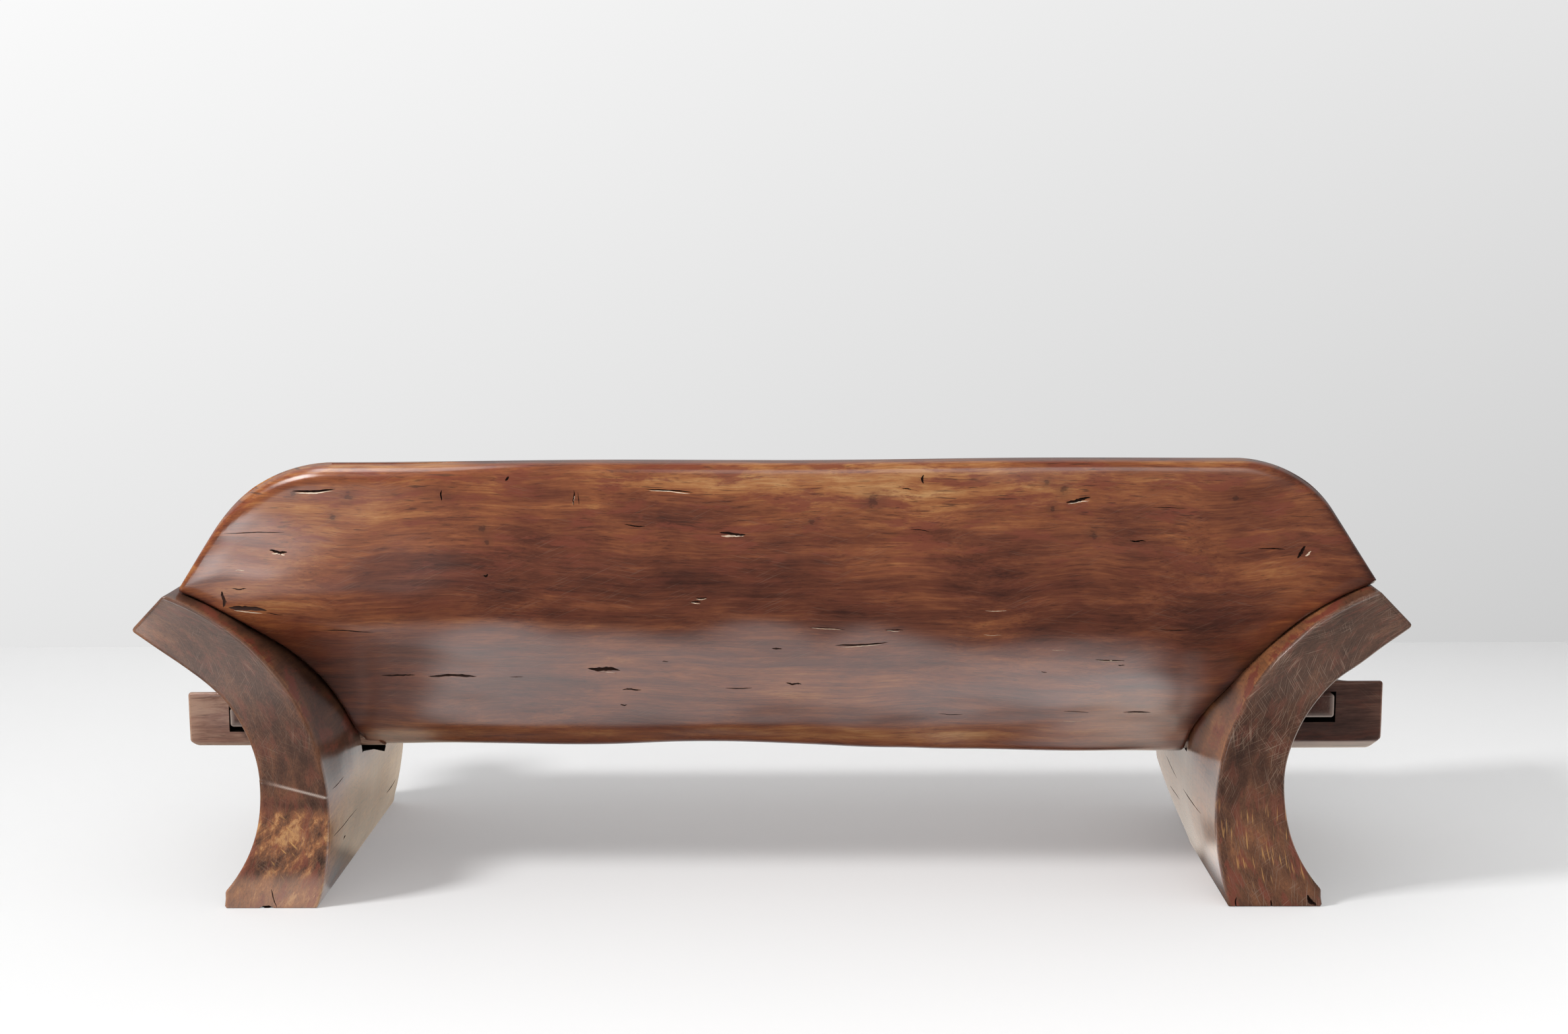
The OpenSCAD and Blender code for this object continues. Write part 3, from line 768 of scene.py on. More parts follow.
def bar_ring(width, height, radius, count=9):
    """Rounded rectangle about its middle, from the middle of its top down one side and up the other.

    Its points lie at whole steps along the line, so that none are too close together.
    """
    step = 0.0005
    w, h = width / 2, height / 2
    line = rounded_line((0, h), [((-w, h), radius), ((-w, -h), radius)], (0, -h))
    extra = np.linspace(0, distances(line)[-1], 4 * count)
    places = np.unique(np.round(np.concatenate([distances(line), extra]) / step)) * step
    half = points_at(line, places)
    return np.vstack([half, (half * (-1, 1))[-2:0:-1]])


def inset_ring(ring, amount):
    """A ring moved inwards by an amount along its own normals, by rows of stations."""
    tangent = np.roll(ring, -1, axis=-2) - np.roll(ring, 1, axis=-2)
    normal = np.stack([-tangent[..., 1], tangent[..., 0]], axis=-1)
    normal /= np.linalg.norm(normal, axis=-1, keepdims=True)
    return ring + normal * amount


def key_foot(side):
    """Where a key's flat top meets the leg's hollow outer face, as a reach."""
    return WAIST_T + HOLLOW_R - math.sqrt(HOLLOW_R ** 2 - (KEY[side]["top"] - HOLLOW_H) ** 2)


def box_tool(name, low, high):
    """A plain box as a cutting tool, with its long edges along y."""
    (x0, y0, z0), (x1, y1, z1) = low, high
    ring = np.array([(x0, z0), (x1, z0), (x1, z1), (x0, z1)])
    rings = np.stack([np.insert(ring, 1, y, axis=1) for y in (y0, y1)])
    return tool(name, [rings])


def tenon(side):
    """A bar along x whose ring shrinks by a quarter circle at its end and whose end slopes at the nip.

    Outside the leg its top is hewn down towards the sitter's side, and more so past the key: a point
    falls by its share of the height above the bar's middle, times its share of the width.
    """
    size = TENON[side]
    low, ring = size["z"], bar_ring(TENON_W, size["h"], TENON_EDGE_R, 18)
    turn = np.linspace(0, math.pi / 2, 6)
    straight = np.linspace(size["reach"] + TENON_ROOT, TENON_TIP, TENON_STEPS)
    back = np.concatenate([straight, TENON_END_R * (1 - np.sin(turn))])
    inset = np.concatenate([np.zeros(TENON_STEPS), TENON_END_R * (1 - np.cos(turn))])
    section = inset_ring(np.repeat(ring[None], len(back), axis=0), inset[:, None, None])
    y = TENON_Y + TENON_W / 2 + section[..., 0]
    z = low + size["h"] / 2 + section[..., 1]
    y = y + size["slope"] * np.clip(low + size["bevel"] - z, 0, None) * (section[..., 0] < 0)
    end = size["reach"] - np.clip(size["nip"] - (z - low), 0, None)
    x = end - back[:, None]
    past_key = x - key_foot(side) - KEY[side]["w"] - KEY_TAPER
    fall = size["fall"] * smooth((x - 0.175) / 0.06)
    fall = fall + (TENON_END_FALL - size["fall"]) * smooth((past_key - 0.004) / 0.025)
    share = np.clip(2 * section[..., 1] / size["h"], 0, 1) * (section[..., 0] / TENON_W + 0.5)
    z = z - fall * share
    uneven = swell(x, y + z, (0.21, 0.14, 0.09), 0.0007, 31 + side)
    y = y + uneven * np.sign(section[..., 0])
    rings = np.stack([side * (LEG_WAIST + x), y, z], axis=-1)
    cap = straight_cap(rings[-1], 8)
    cap[..., 0] = side * (LEG_WAIST + size["reach"] - np.clip(size["nip"] - (cap[..., 2] - low), 0, None))
    return skin("tenon_" + ("left" if side < 0 else "right"), rings, None, cap)


def key_mortise(side):
    """The hole in a tenon for its key: as wide as the key's head, as high as the key is where it leaves
    the tenon in front, and cut a little past the leg's face."""
    size = KEY[side]
    foot = key_foot(side)
    high = size["h"] + KEY_RISE * (TENON_Y + TENON_W - KEY_BACK) / (KEY_FRONT - KEY_BACK)
    low_x, high_x = foot - KEY_SLOT_PAST, foot + size["w"] + KEY_TAPER
    x = sorted((side * (LEG_WAIST + low_x), side * (LEG_WAIST + high_x)))
    return box_tool("mortise", (x[0], KEY_BACK, size["top"] - high), (x[1], KEY_FRONT, size["top"] + KEY_GAP))


TENON_STOPS = [
    (0.00, (0.014, 0.007, 0.006)), (0.30, (0.050, 0.022, 0.016)), (0.55, (0.110, 0.048, 0.034)),
    (0.80, (0.240, 0.110, 0.072)), (1.00, (0.420, 0.240, 0.160)),
]
tenon_wood = wood("tenon_wood", TENON_STOPS, strokes=[
    ("Z_AXIS", 2, (10, 260, 0), "cracked", (0.020, 0.010, 0.008)),
    ("Z_AXIS", 40, (16, 420, 0), "scratched", SCRATCH),
])
# Near-black lining for the mortises and the worn mouth: painted shade, since no light reaches inside the
# holes.
painted_shade_hole = split_wood("painted_shade_hole", (0.010, 0.006, 0.005))
for side in (-1, 1):
    piece = tenon(side)
    # The key's mortise is lined with near-black painted shade.
    carve(piece, key_mortise(side), painted_shade_hole)
    finish_mesh(piece, [tenon_wood, painted_shade_hole])
    x, y, z = positions(piece).T
    size = TENON[side]
    low_edge, top_edge = np.abs(z - size["z"]), np.abs(z - size["z"] - size["h"])
    end_edge = np.abs(side * x - LEG_WAIST - size["reach"])
    edge = np.minimum(np.minimum(low_edge, top_edge), end_edge)
    # The chamfer strip under each tenon is painted paler, a painted reflection of the bright floor, and it is
    # also cracked.
    chamfer_sheen = smooth((size["bevel"] - low_edge) / 0.004)
    paint(
        piece, (x, z, y), tone=TENON_SHADED_TONE[side] + 0.42 * chamfer_sheen, worn=np.exp(-(edge / 0.005) ** 2), blush=0.2,
        scratched=0.2, cracked=0.2 + 0.7 * chamfer_sheen, bared=0.65 * chamfer_sheen * (side > 0) + 0.05 * (side < 0),
    )
    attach(piece, "root")
    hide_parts("seat_back")


# The legs. Two crescents sawn from a thick plank whose grain runs from back to front, so that the back
# faces show end grain. The inner face cradles the trunk, the outer face is hollowed, and a horn stands
# out beyond the wing. All arrises are rounded by wear. A mortise takes the tenon.
HORN_SLOPE, HORN_CUT, HORN_TIP_R = math.radians(36), math.radians(46), 0.008
INSTEP_R, SHIN_R, TOE_REACH = 0.600, 0.305, 0.208
LEG_DEPTH, LEG_ARRIS = {-1: 0.700, 1: 0.670}, {-1: 0.005, 1: 0.007}
LEG_STEPS, LEG_CAP_ROWS, LEG_LEAN = 64, 34, 0.012
HEWN_START, HEWN_SLOPE = 0.390, math.radians(21)
LEDGE_H, LEDGE_SLOPE, LEDGE_STEP = 0.2155, 0.27, 0.0018
MORTISE_GAP, MORTISE_DROP = 0.0005, {-1: 0.013, 1: 0.003}
# The worn mouth of the left mortise, in the leg's inner face: y and height
MOUTH = [(0.300, 0.262), (0.314, 0.2235), (0.40, 0.204), (0.500, 0.172), (0.512, 0.180), (0.512, 0.262)]
# How far inside the leg's waist a cut begins, the mouth's depth, and how deep the middle of a shake lies
CUT_LEAD, MOUTH_DEPTH, SHAKE_IN = 0.03, 0.05, 0.001
root_reach = WAIST_T + HOLLOW_R - HOLLOW_R * math.sin(HORN_SLOPE)
root_h = HOLLOW_H + HOLLOW_R * math.cos(HORN_SLOPE)
HORN_H = root_h + (HORN_REACH - root_reach) * math.tan(HORN_SLOPE)


def inner_reach(z):
    """Reach of the leg's inner face at height z: one arc above the waist and a flatter one below."""
    radius = np.where(z > WAIST_H, CRADLE_R, INSTEP_R)
    return radius - np.sqrt(np.clip(radius ** 2 - (z - WAIST_H) ** 2, 0, None))


def outer_reach(z):
    """Reach of the leg's outer face at height z: shin arc, hollow arc, then the horn's straight underside."""
    shin = WAIST_T + SHIN_R - np.sqrt(np.clip(SHIN_R ** 2 - (HOLLOW_H - z) ** 2, 0, None))
    hollow = WAIST_T + HOLLOW_R - np.sqrt(np.clip(HOLLOW_R ** 2 - (z - HOLLOW_H) ** 2, 0, None))
    horn = root_reach + (z - root_h) / math.tan(HORN_SLOPE)
    return np.where(z < HOLLOW_H, np.minimum(shin, TOE_REACH), np.where(z < root_h, hollow, horn))


def horn_corner():
    """Height at which the cut across the horn meets the inner face, found by halving."""
    low, high = HORN_H, HORN_H + 0.12
    for _ in range(40):
        middle = (low + high) / 2
        cut = HORN_REACH - (middle - HORN_H) / math.tan(HORN_CUT)
        low, high = (middle, high) if cut > inner_reach(middle) else (low, middle)
    return low


def leg_half(reach, top, sole_corner, count):
    """Half of the leg's outline: from the middle of the horn's cut round a corner, down a face and round
    another corner to the middle of the sole, with closer points near the ledge."""
    z = np.linspace(top, 0, 160)
    face = np.stack([reach(z), z], axis=1)
    crest = np.array([(inner_reach(horn_top) + HORN_REACH) / 2, (horn_top + HORN_H) / 2])
    sole = np.array([(inner_reach(0.0) + TOE_REACH) / 2, 0])
    upper = fillet(crest, face[0], face[6], HORN_TIP_R, 6)
    lower = fillet(face[-8], face[-1], sole, sole_corner, 6)
    body = face[(face[:, 1] < upper[-1, 1]) & (face[:, 1] > lower[0, 1])]
    line = np.vstack([[crest], upper, body, lower, [sole]])
    along = distances(line)
    dense = 1 + 3 * np.exp(-((line[:, 1] - 0.232) / 0.022) ** 2) * (line[:, 1] > 0.1)
    weight = np.concatenate([[0], np.cumsum(np.diff(along) * (dense[1:] + dense[:-1]) / 2)])
    return points_at(line, np.interp(np.linspace(0, weight[-1], count), weight, along))


horn_top = horn_corner()
leg_outline = np.vstack([
    leg_half(inner_reach, horn_top, 0.004, 170),
    leg_half(outer_reach, HORN_H, 0.005, 170)[-2:0:-1],
])


def eased_stations(low, high, radius, steps):
    """Stations from low to high, and how far a ring is drawn in at each: by a quarter circle at the ends."""
    turn = np.linspace(0, math.pi / 2, 6)
    stations = np.concatenate([
        low + radius * (1 - np.cos(turn)), np.linspace(low + radius, high - radius, steps + 2)[1:-1],
        high - radius * (1 - np.sin(turn)),
    ])
    inset = np.concatenate([radius * (1 - np.sin(turn)), np.zeros(steps), radius * (1 - np.cos(turn))])
    return stations, inset


def leg(side):
    """A leg: its outline carried from back to front, drawn in by a quarter circle at both ends.

    Towards the front the right foot's sole rises in a hewn slope, to which the lower outline is squeezed,
    and both legs lean forwards a little. The left leg's back face steps in above a sloping ledge.
    """
    depth = LEG_DEPTH[side]
    y, inset = eased_stations(0, depth, LEG_ARRIS[side], LEG_STEPS)
    rings = np.repeat(leg_outline[None], len(y), axis=0)
    rise = np.clip(y - HEWN_START, 0, None) * math.tan(HEWN_SLOPE) * (side > 0)
    z = rings[..., 1]
    squeeze = np.clip(1 - z / 0.3, 0, 1) * rise[:, None]
    share = np.clip((rings[..., 0] - inner_reach(z)) / (outer_reach(z) - inner_reach(z)), 0, 1)
    inner_shift = inner_reach(z + squeeze) - inner_reach(z)
    outer_shift = outer_reach(z + squeeze) - outer_reach(z)
    rings = np.stack([rings[..., 0] + inner_shift * (1 - share) + outer_shift * share, z + squeeze], axis=-1)
    rings = inset_ring(rings, inset[:, None, None] * (0.35 + 0.65 * smooth(rings[..., 1:] / 0.03)))
    uneven = swell(y[:, None], rings[..., 1] + rings[..., 0], (0.34, 0.21, 0.13), 0.0009, 50 + side)
    rings = inset_ring(rings, np.clip(uneven + 0.0012, 0, None)[..., None] * smooth(rings[..., 1:] / 0.02))
    lean = LEG_LEAN * smooth((rings[..., 1] - 0.02) / 0.4) * (y[:, None] / depth) ** 4
    points = np.stack([side * (LEG_WAIST + rings[..., 0]), y[:, None] + lean, rings[..., 1]], axis=-1)
    back, front = straight_cap(points[0], LEG_CAP_ROWS), straight_cap(points[-1], LEG_CAP_ROWS)
    if side < 0:
        for face in (back, points[0:12]):
            reach, height = -face[..., 0] - LEG_WAIST, face[..., 2]
            ledge = LEDGE_H + LEDGE_SLOPE * reach
            face[..., 1] += LEDGE_STEP * smooth((height - ledge) / 0.0022)
    dish = swell(back[..., 0], back[..., 2], (0.31, 0.19, 0.12), 0.0005, 70 + side)
    rise = np.sin(np.linspace(0, math.pi, LEG_CAP_ROWS + 1)[1:-1])
    back[..., 1] += np.clip(dish + 0.0009, 0, None) * rise
    return skin("leg_" + ("left" if side < 0 else "right"), points, back, front)


# Tone of a leg's back face, of its inner face and of the rest
LEG_TONE, INSIDE_TONE, REST_TONE = {-1: 0.46, 1: 0.42}, {-1: 0.50, 1: 0.76}, 0.42
# Patches on the legs' back faces: reach, height, half width, half height, change of tone
LEG_PATCHES = {
    -1: [
        (0.090, 0.138, 0.090, 0.052, 0.28), (0.100, 0.020, 0.160, 0.050, 0.42),
        (0.024, 0.090, 0.044, 0.010, -0.28), (0.060, 0.165, 0.120, 0.050, 0.10),
        (0.122, 0.086, 0.024, 0.008, -0.20), (0.060, 0.203, 0.100, 0.012, -0.16),
        (0.350, 0.535, 0.040, 0.040, 0.16), (0.200, 0.490, 0.080, 0.060, -0.06),
    ],
    1: [
        (0.090, 0.120, 0.100, 0.080, 0.25), (0.130, 0.020, 0.120, 0.040, 0.22),
        (0.250, 0.520, 0.080, 0.060, -0.05), (0.030, 0.330, 0.030, 0.100, -0.05),
    ],
}
LEG_STOPS = [
    (0.00, (0.013, 0.008, 0.006)), (0.25, (0.045, 0.022, 0.015)), (0.48, (0.105, 0.046, 0.028)),
    (0.70, (0.220, 0.092, 0.046)), (0.86, (0.375, 0.150, 0.062)), (1.00, (0.560, 0.290, 0.120)),
]
FLECK, RUBBED = (0.58, 0.30, 0.10), (0.58, 0.31, 0.11)
leg_wood = wood("leg_wood", LEG_STOPS, fine=(1, 0.5, 1.2), red=(0.24, 0.065, 0.040), figure=0.65, strokes=[
    ("X_AXIS", 6, (0, 10, 640), "scratched", SCRATCH), ("X_AXIS", -16, (0, 10, 680), "scratched", SCRATCH),
    ("X_AXIS", 24, (0, 11, 680), "scratched", SCRATCH), ("X_AXIS", 62, (0, 14, 700), "scratched", SCRATCH),
    ("X_AXIS", -40, (0, 13, 700), "scratched", SCRATCH), ("X_AXIS", 2, (0, 22, 300), "flecked", FLECK),
    ("X_AXIS", 48, (0, 26, 330), "rubbed", RUBBED), ("X_AXIS", -33, (0, 26, 330), "rubbed", RUBBED),
    ("X_AXIS", 84, (0, 26, 330), "rubbed", RUBBED),
    ("Z_AXIS", 0, (4, 90, 0), "cracked", (0.025, 0.012, 0.008)),
])
# Shakes in the legs' back faces (reach, height) and inner faces (depth, height): place, length, gape,
# tilt, depth of the cut
BACK_SHAKES = {
    -1: [(0.113, 0.020, 0.040, 0.0020, 75, 0.006), (0.006, 0.332, 0.022, 0.0050, 60, 0.003),
         (0.128, 0.002, 0.030, 0.0050, 0, 0.020)],
    1: [(0.044, 0.008, 0.024, 0.0026, 90, 0.008), (0.111, 0.005, 0.018, 0.0030, 90, 0.008),
        (0.186, 0.012, 0.028, 0.0080, 130, 0.010)],
}
INNER_SHAKES = {
    -1: [(0.090, 0.221, 0.090, 0.0018, 0, 0.006), (0.150, 0.125, 0.230, 0.0022, -3, 0.006),
         (0.603, 0.064, 0.100, 0.0040, 2, 0.006), (0.147, 0.094, 0.020, 0.0050, 10, 0.006)],
    1: [(0.465, 0.141, 0.120, 0.0024, 9, 0.006), (0.243, 0.135, 0.200, 0.0024, -2, 0.006),
        (0.460, 0.088, 0.110, 0.0024, 1, 0.006)],
}


def leg_shakes(side):
    """Cutting rings for the shakes of a leg's back face and inner face."""
    rng = np.random.default_rng(40 + side)
    made = []
    for reach, height, length, gape, tilt, depth in BACK_SHAKES[side]:
        place, normal = np.array([side * (LEG_WAIST + reach), SHAKE_IN, height]), np.array([0, -1, 0])
        made.append(shake(place, normal, (side, 0, 0), length, gape, math.radians(tilt), depth, rng))
    for away, height, length, gape, tilt, depth in INNER_SHAKES[side]:
        place = np.array([side * (LEG_WAIST + inner_reach(height)), away, height])
        normal = np.array([-side, 0, 0])
        made.append(shake(place, normal, (0, 1, 0), length, gape, math.radians(tilt), depth, rng))
    return made


def leg_mortise(side):
    """The hole in a leg for its tenon, with a gap all round and a drop below, where wear has widened it."""
    size = TENON[side]
    x = sorted((side * (LEG_WAIST - CUT_LEAD), side * (LEG_WAIST + HORN_REACH)))
    low = (x[0], TENON_Y - MORTISE_GAP, size["z"] - MORTISE_DROP[side])
    high = (x[1], TENON_Y + TENON_W + MORTISE_GAP, size["z"] + size["h"] + MORTISE_GAP)
    return box_tool("hole", low, high)


def worn_mouth():
    """A tool for the left mortise's mouth: its outline carried a little way into the leg's inner face."""
    ends = (-LEG_WAIST + CUT_LEAD, -LEG_WAIST - MOUTH_DEPTH)
    return tool("mouth", [np.stack([np.insert(MOUTH, 0, x, axis=1) for x in ends])])


def leg_look(side, reach, y, z):
    """Painted numbers for a leg: patches, wear and scratches on the back face, a redder inner face that
    is pale at its rim and cracked below, and on the left leg a torn and rubbed lower half with a painted
    highlight along the ledge above it, and a lower inner face painted lighter, painted light that the
    lamps don't give it. The right leg's lower half is flecked."""
    left, right = side < 0, side > 0
    over = reach - inner_reach(z)
    inside_face = smooth((0.005 - over) / 0.004) * smooth((y - 0.008) / 0.01)
    near_face = smooth((0.012 - y) / 0.008)
    tone = LEG_TONE[side] * near_face + INSIDE_TONE[side] * inside_face
    tone += REST_TONE * (1 - near_face) * (1 - inside_face)
    for place, height, wide, high, change in LEG_PATCHES[side]:
        tone += near_face * change * np.exp(-((reach - place) / wide) ** 2 - ((z - height) / high) ** 2)
    tone += 0.16 * near_face * smooth((0.014 - (outer_reach(z) - reach)) / 0.012) * left
    rim = inside_face * smooth((0.075 - y) / 0.05) * smooth((z - 0.32) / 0.06)
    tone += (0.16 if left else 0.04) * rim
    # The left leg's lower inner face is painted lighter: painted light that the lamps don't give this face.
    tone += 0.36 * inside_face * smooth((0.26 - z) / 0.06) * left
    worn = np.exp(-(over / 0.006) ** 2) * (1 - smooth((y - 0.01) / 0.02))
    flecked = 0.7 * near_face * smooth((z - 0.03) / 0.03) * smooth((0.235 - z) / 0.04) * right
    below = smooth((0.255 - z) / 0.02) * inside_face
    foot = near_face * left * smooth((0.078 - z) / 0.03)
    # A thin pale line along the left leg's ledge: a painted highlight on its lit edge.
    above_ledge = z - LEDGE_H - LEDGE_SLOPE * reach
    bared = 0.75 * near_face * np.exp(-((above_ledge - 0.001) / 0.0016) ** 2) * left
    bared = bared * smooth((0.13 - reach) / 0.06)
    bared = bared + 0.14 * foot + 0.05 * near_face * smooth((z - 0.35) / 0.1)
    low_red = near_face * smooth((0.24 - z) / 0.12) * (0.5 if right else 0.35)
    return {
        "tone": tone, "worn": worn * (0.9 if left else 0.5), "bared": bared, "flecked": flecked,
        "blush": 0.3 + (0.6 + rim) * inside_face * (1 - below) + low_red,
        "rubbed": near_face * left * np.exp(-((reach - 0.080) / 0.065) ** 2 - ((z - 0.125) / 0.055) ** 2),
        "ragged": (0.12 + 0.78 * smooth((0.205 - z) / 0.03)) * (near_face * left - 0.75 * foot),
        "scratched": near_face * (0.32 if left else 0.80 - 0.5 * flecked),
        "cracked": 0.4 * below, "waves": 0.7 * inside_face,
    }


for side in (-1, 1):
    piece = leg(side)
    # The mortise, and on the left leg its worn mouth, are lined with near-black painted shade.
    carve(piece, leg_mortise(side), painted_shade_hole)
    if side < 0:
        carve(piece, worn_mouth(), painted_shade_hole)
    carve(piece, tool("leg_shakes", leg_shakes(side)), dark_split)
    finish_mesh(piece, [leg_wood, painted_shade_hole, dark_split])
    x, y, z = positions(piece).T
    reach = side * x - LEG_WAIST
    paint(piece, (y, z + 0.6 * reach, reach - inner_reach(z)), **leg_look(side, reach, y, z))
    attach(piece, "root")
    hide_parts("leg_left" if side < 0 else "leg_right")


# The keys. Two hardwood wedges driven through the tenons from the sitter's side, tight against the
# legs' hollow faces. Their back ends are worn round, and their edges there are painted pale: partly
# wear and partly a painted highlight.
def key(side):
    """A bar along y, flat on top and straight against the leg, that tapers underneath and outside."""
    size = KEY[side]
    y, inset = eased_stations(KEY_BACK, KEY_FRONT, KEY_END_R, KEY_STEPS)
    share = (y - KEY_BACK) / (KEY_FRONT - KEY_BACK)
    wide = size["w"] + KEY_TAPER * share - 2 * KEY_GAP
    high = size["h"] + KEY_RISE * share
    ring = bar_ring(size["w"], size["h"], KEY_EDGE_R)
    reach = (ring[:, 0] / size["w"] + 0.5) * wide[:, None]
    drop = (0.5 - ring[:, 1] / size["h"]) * high[:, None]
    section = inset_ring(np.stack([reach, -drop], axis=-1), inset[:, None, None])
    points = np.stack([
        side * (LEG_WAIST + key_foot(side) + KEY_GAP + section[..., 0]),
        y[:, None] + 0 * reach, size["top"] + section[..., 1],
    ], axis=-1)
    return skin("key_" + ("left" if side < 0 else "right"), points, cap_rows=KEY_CAP_ROWS)


KEY_STOPS = [
    (0.00, (0.020, 0.010, 0.008)), (0.30, (0.070, 0.030, 0.022)), (0.55, (0.140, 0.062, 0.044)),
    (0.80, (0.300, 0.170, 0.125)), (1.00, (0.520, 0.380, 0.310)),
]
key_wood = wood("key_wood", KEY_STOPS, strokes=[("Y_AXIS", 30, (0, 380, 16), "scratched", SCRATCH)])
for side in (-1, 1):
    piece = key(side)
    finish_mesh(piece, [key_wood])
    x, y, z = positions(piece).T
    deep = np.clip(y - KEY_BACK, 0, None)
    wide, high = side * x - LEG_WAIST - key_foot(side), KEY[side]["top"] - z
    rim = np.clip(np.minimum(KEY[side]["w"] - wide, KEY[side]["h"] - high), 0, None)
    # The back end's rim is painted pale: partly wear, partly a painted highlight on the rounded edge.
    bared = 0.55 * np.exp(-(deep / 0.010) ** 2) * np.exp(-(rim / 0.007) ** 2)
    paint(piece, (y, x, z), tone=0.42, worn=0, blush=0.2, scratched=0.2, bared=bared)
    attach(piece, "root")
    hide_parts("key_left" if side < 0 else "key_right")


# The studio: a pale floor and a pale wall behind, which is seen only from the front side, and soft
# lamps. What the wax reflects is kept apart from what the eye sees: the floor is brightest close behind
# the bench, where it turns the flank hazy, dim under the bench and dark farther out.

# Where the bright floor reaches farther back from the bench: middle, half width, reach
WINDOW_PEAKS = [(-0.62, 0.16, 0.24), (-0.06, 0.14, 0.30), (0.20, 0.16, 0.26), (0.42, 0.25, -0.05)]
WARM_LEFT, WARM_RIGHT, WALL_GREY = (1.0, 0.87, 0.70), (1.0, 0.90, 0.80), (0.70, 0.70, 0.70, 1)


def stage_plane(name, corners, material):
    """A flat sheet of the studio, which isn't part of the bench."""
    mesh = bpy.data.meshes.new(name)
    mesh.from_pydata(corners, [], [(0, 1, 2, 3)])
    plane = bpy.data.objects.new(name, mesh)
    bpy.context.scene.collection.objects.link(plane)
    mesh.materials.append(material)


def surface_tree(name):
    """A material without a shader, as (material, tree, output, the light path's outputs)."""
    material, tree, shader = blank(name)
    tree.nodes.remove(shader)
    output = next(n for n in tree.nodes if n.type == "OUTPUT_MATERIAL")
    return material, tree, output, tree.nodes.new("ShaderNodeLightPath").outputs


def coordinate(tree, place, axis):
    """One coordinate of a place: axis 0 for x, 1 for y and 2 for z."""
    return add(tree, "SeparateXYZ", {0: place}, output=axis)


def greater(tree, a, b):
    """The greater of two values."""
    return add(tree, "Math", {0: a, 1: b}, operation="MAXIMUM")


def mirrored_floor(tree, place, x, y):
    """Emission of the floor for the wax alone, as strength and colour.

    A window of light lies under the bench's back, between a wavy edge that reaches farther back at the
    peaks and an edge under the trunk, and is dimmer by the legs' feet. Beyond it and beside the bench
    the floor is dim, and far off to the left it is bright again. It is warm by the legs' inner faces.
    """
    ripple = add(tree, "TexNoise", {"Vector": place, "Scale": 3.2, "Detail": 1.0})
    aside = add(tree, "Math", {0: x}, operation="ABSOLUTE")
    by_leg = above(tree, aside, 0.72, 0.82)
    on_left, on_right = above(tree, x, 0.1, -0.1), above(tree, x, -0.1, 0.1)

    near_edge = plus(tree, y, times(tree, ripple, 0.14, -0.07))
    for middle, width, reach in WINDOW_PEAKS:
        away = add(tree, "Math", {0: plus(tree, x, -middle)}, operation="ABSOLUTE")
        near_edge = plus(tree, near_edge, times(tree, above(tree, away, width, 0.0), reach))
    near = above(tree, near_edge, BACK - 0.32, BACK + 0.14)
    far_edge = plus(tree, y, times(tree, ripple, 0.10, -0.05))
    far = above(tree, plus(tree, far_edge, times(tree, x, -0.06)), BACK + 0.235, BACK + 0.345)
    window = add(tree, "Math", {0: near, 1: far}, operation="SUBTRACT")

    left_slant = times(tree, above(tree, y, BACK + 0.05, BACK + 0.17), -0.22)
    left_end = above(tree, plus(tree, x, left_slant), -1.08, -0.96)
    right_end = times(tree, above(tree, x, 0.89, 0.84), times(tree, above(tree, x, 0.85, 0.77), 0.6, 0.4))
    left_foot = times(tree, times(tree, by_leg, on_left), above(tree, y, BACK - 0.12, BACK + 0.02))
    right_foot = times(tree, times(tree, by_leg, on_right), above(tree, y, BACK + 0.16, BACK + 0.04))
    window = times(tree, times(tree, window, left_end), right_end)
    for dimmed, loss in ((left_foot, 0.65), (right_foot, 0.55), (above(tree, x, 0.81, 0.85), 0.7)):
        window = times(tree, window, times(tree, dimmed, -loss, 1.0))
    strength = plus(tree, times(tree, times(tree, x, x), 0.90, 0.89), times(tree, x, 0.15))
    strength = times(tree, window, strength)

    beyond = above(tree, plus(tree, y, times(tree, by_leg, 0.20)), BACK + 0.44, BACK + 0.58)
    past_horn = above(tree, aside, MIDDLE + 1.0, MIDDLE + 1.08)
    beyond = greater(tree, beyond, times(tree, past_horn, above(tree, y, BACK - 0.1, BACK + 0.1)))
    left_far = times(tree, above(tree, x, -0.30, -0.50), above(tree, y, BACK + 0.65, BACK + 1.0))
    dim = plus(tree, times(tree, above(tree, aside, 0.52, 0.68), 0.26), times(tree, left_far, 0.30))
    dim = plus(tree, times(tree, x, 0.21, 0.42), dim)
    strength = greater(tree, strength, times(tree, beyond, dim, 0.04))
    strength = greater(tree, strength, times(tree, left_foot, 0.24))
    far_left = times(tree, above(tree, y, BACK - 3.2, BACK - 2.4), above(tree, y, BACK - 1.1, BACK - 1.7))
    far_left = times(tree, far_left, above(tree, x, -1.2, -1.5))
    strength = plus(tree, strength, times(tree, far_left, 0.9))

    under_seat = above(tree, y, BACK + 0.15, BACK + 0.35)
    warm_left = times(tree, above(tree, x, -0.60, -0.74), under_seat)
    warm_right = times(tree, above(tree, x, 0.58, 0.70), under_seat)
    colour = mix(tree, warm_right, mix(tree, warm_left, (1.0, 1.0, 1.0), WARM_LEFT), WARM_RIGHT)
    return strength, colour


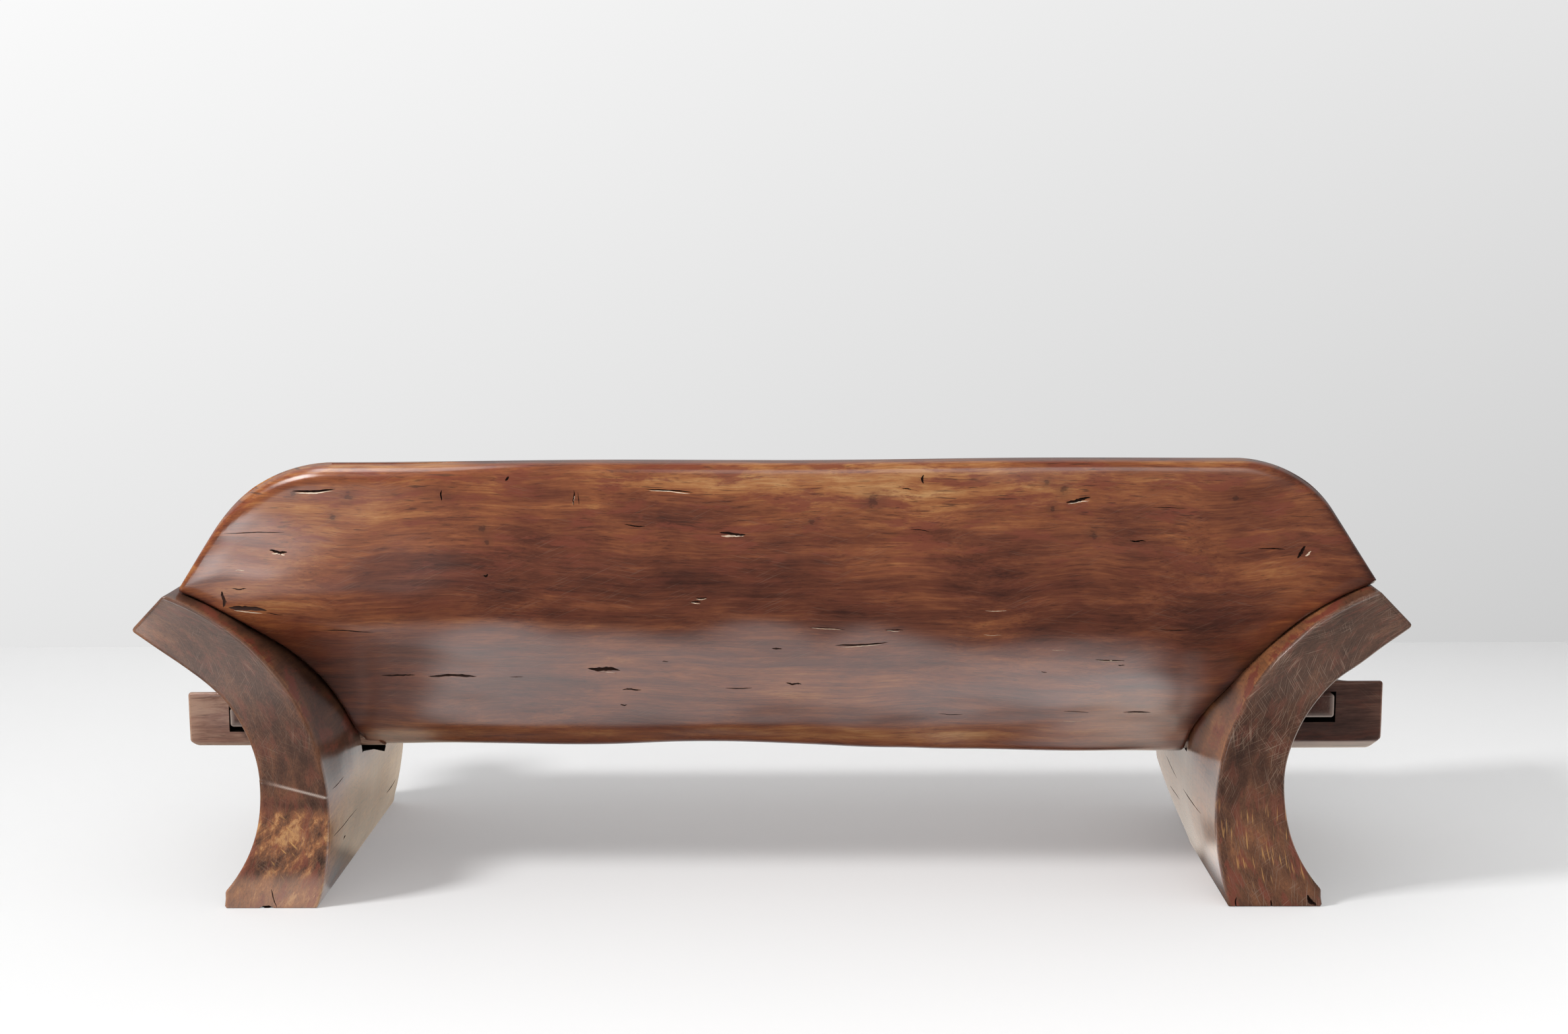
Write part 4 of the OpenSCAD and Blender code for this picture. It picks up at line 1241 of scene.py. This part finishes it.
def floor_paint():
    """Matt white that glows a little for the eye, and as mirrored_floor says for the wax. The white is
    darker to the left, painted shade that evens out the key lamp's stronger light there, and the glow is
    stronger to the left and the front, painted light on the floor.
    """
    material, tree, output, path = surface_tree("floor_paint")
    place = add(tree, "TexCoord", output=3)
    x, y = coordinate(tree, place, 0), coordinate(tree, place, 1)
    # Painted shade and light on the floor: the white is darker to the left, where the key lamp is near, and
    # the glow stronger to the left and the front.
    white = plus(tree, times(tree, y, -0.010, 0.735), times(tree, x, 0.085))
    glow = plus(tree, times(tree, x, -0.020, 0.181), times(tree, y, times(tree, x, -0.024, -0.035)))
    matt = add(tree, "BsdfDiffuse", {"Color": white})
    seen = add(tree, "AddShader", {0: matt, 1: add(tree, "Emission", {"Strength": glow})})
    shown = add(tree, "MixShader", {0: path["Is Camera Ray"], 1: matt, 2: seen})
    strength, colour = mirrored_floor(tree, place, x, y)
    mirrored = add(tree, "Emission", {"Color": colour, "Strength": strength})
    both = add(tree, "MixShader", {0: path["Is Glossy Ray"], 1: shown, 2: mirrored})
    tree.links.new(both, output.inputs["Surface"])
    return material


def wall_paint():
    """Pale grey that the eye sees as an even fall of light from left to right and from top to bottom.

    The wax sees the same, much dimmer. From its other side the wall is clear.
    """
    material, tree, output, path = surface_tree("wall_paint")
    place = add(tree, "TexCoord", output=3)
    x, z = coordinate(tree, place, 0), coordinate(tree, place, 2)
    level = plus(tree, times(tree, x, -0.037, 0.775), times(tree, z, 0.089, -0.077))
    level = times(tree, level, times(tree, path["Is Glossy Ray"], -0.62, 1.0))
    seen = add(tree, "Emission", {"Strength": level})
    matt = add(tree, "BsdfDiffuse", {"Color": WALL_GREY})
    eye_or_wax = greater(tree, path["Is Camera Ray"], path["Is Glossy Ray"])
    shown = add(tree, "MixShader", {0: eye_or_wax, 1: matt, 2: seen})
    behind = add(tree, "NewGeometry", output=6)
    one_sided = add(tree, "MixShader", {0: behind, 1: shown, 2: add(tree, "BsdfTransparent")})
    tree.links.new(one_sided, output.inputs["Surface"])
    return material


def banner_paint(name, dark, light, strength):
    """Seen by nothing but the wax: white that fades between two places across the sheet."""
    material, tree, output, path = surface_tree(name)
    x = coordinate(tree, add(tree, "TexCoord", output=3), 0)
    mirrored = add(tree, "Emission", {"Strength": times(tree, above(tree, x, dark, light), strength)})
    both = add(tree, "MixShader", {0: path["Is Glossy Ray"], 1: add(tree, "BsdfTransparent"), 2: mirrored})
    tree.links.new(both, output.inputs["Surface"])
    return material


def level_sheet(name, low, high, z, material):
    """A level sheet between two corners (x, y) at the height z."""
    (x0, y0), (x1, y1) = low, high
    stage_plane(name, [(x0, y0, z), (x1, y0, z), (x1, y1, z), (x0, y1, z)], material)


STAGE, BANNER_H, WALL_H, WALL_Y = 9, 4.2, 6, BACK + 2.35
level_sheet("floor", (-STAGE, -STAGE), (STAGE, STAGE), 0, floor_paint())
level_sheet("banner", (-2.2, -0.9), (-0.9, 0.9), BANNER_H, banner_paint("banner_paint", -0.95, -1.9, 4.0))
level_sheet("glint", (-4.2, -3.2), (-2.3, -1.2), BANNER_H, banner_paint("glint_paint", -4.2, -2.5, 10.0))
wall_corners = [(-STAGE, WALL_Y, 0), (STAGE, WALL_Y, 0), (STAGE, WALL_Y, WALL_H), (-STAGE, WALL_Y, WALL_H)]
stage_plane("wall", wall_corners, wall_paint())


def lamp(name, place, aim, size, power):
    """A square soft lamp at a place, turned towards a point."""
    light = bpy.data.lights.new(name, "AREA")
    light.shape, light.size, light.energy = "SQUARE", size, power
    holder = bpy.data.objects.new(name, light)
    bpy.context.scene.collection.objects.link(holder)
    holder.location = place
    holder.rotation_mode = "QUATERNION"
    holder.rotation_quaternion = (Vector(aim) - Vector(place)).to_track_quat("-Z", "Y")
    return holder


lamp("key_lamp", (-4.2, -2.1, 4.8), (0, 0, 0.4), 1.1, 254).visible_glossy = False
lamp("fill_lamp", (0.9, -4.8, 3.2), (0, 0, 0.4), 3.0, 29)
lamp("side_lamp", (-2.4, -3.9, 0.42), (-1.0, -0.3, 0.6), 0.8, 8)

world = bpy.data.worlds.new("studio")
bpy.context.scene.world = world
world.use_nodes = True
background = next(n for n in world.node_tree.nodes if n.type == "BACKGROUND")
path = world.node_tree.nodes.new("ShaderNodeLightPath").outputs
background.inputs["Color"].default_value = (1, 1, 1, 1)
strength = times(world.node_tree, path["Is Glossy Ray"], -0.54, 0.60)
world.node_tree.links.new(strength, background.inputs["Strength"])
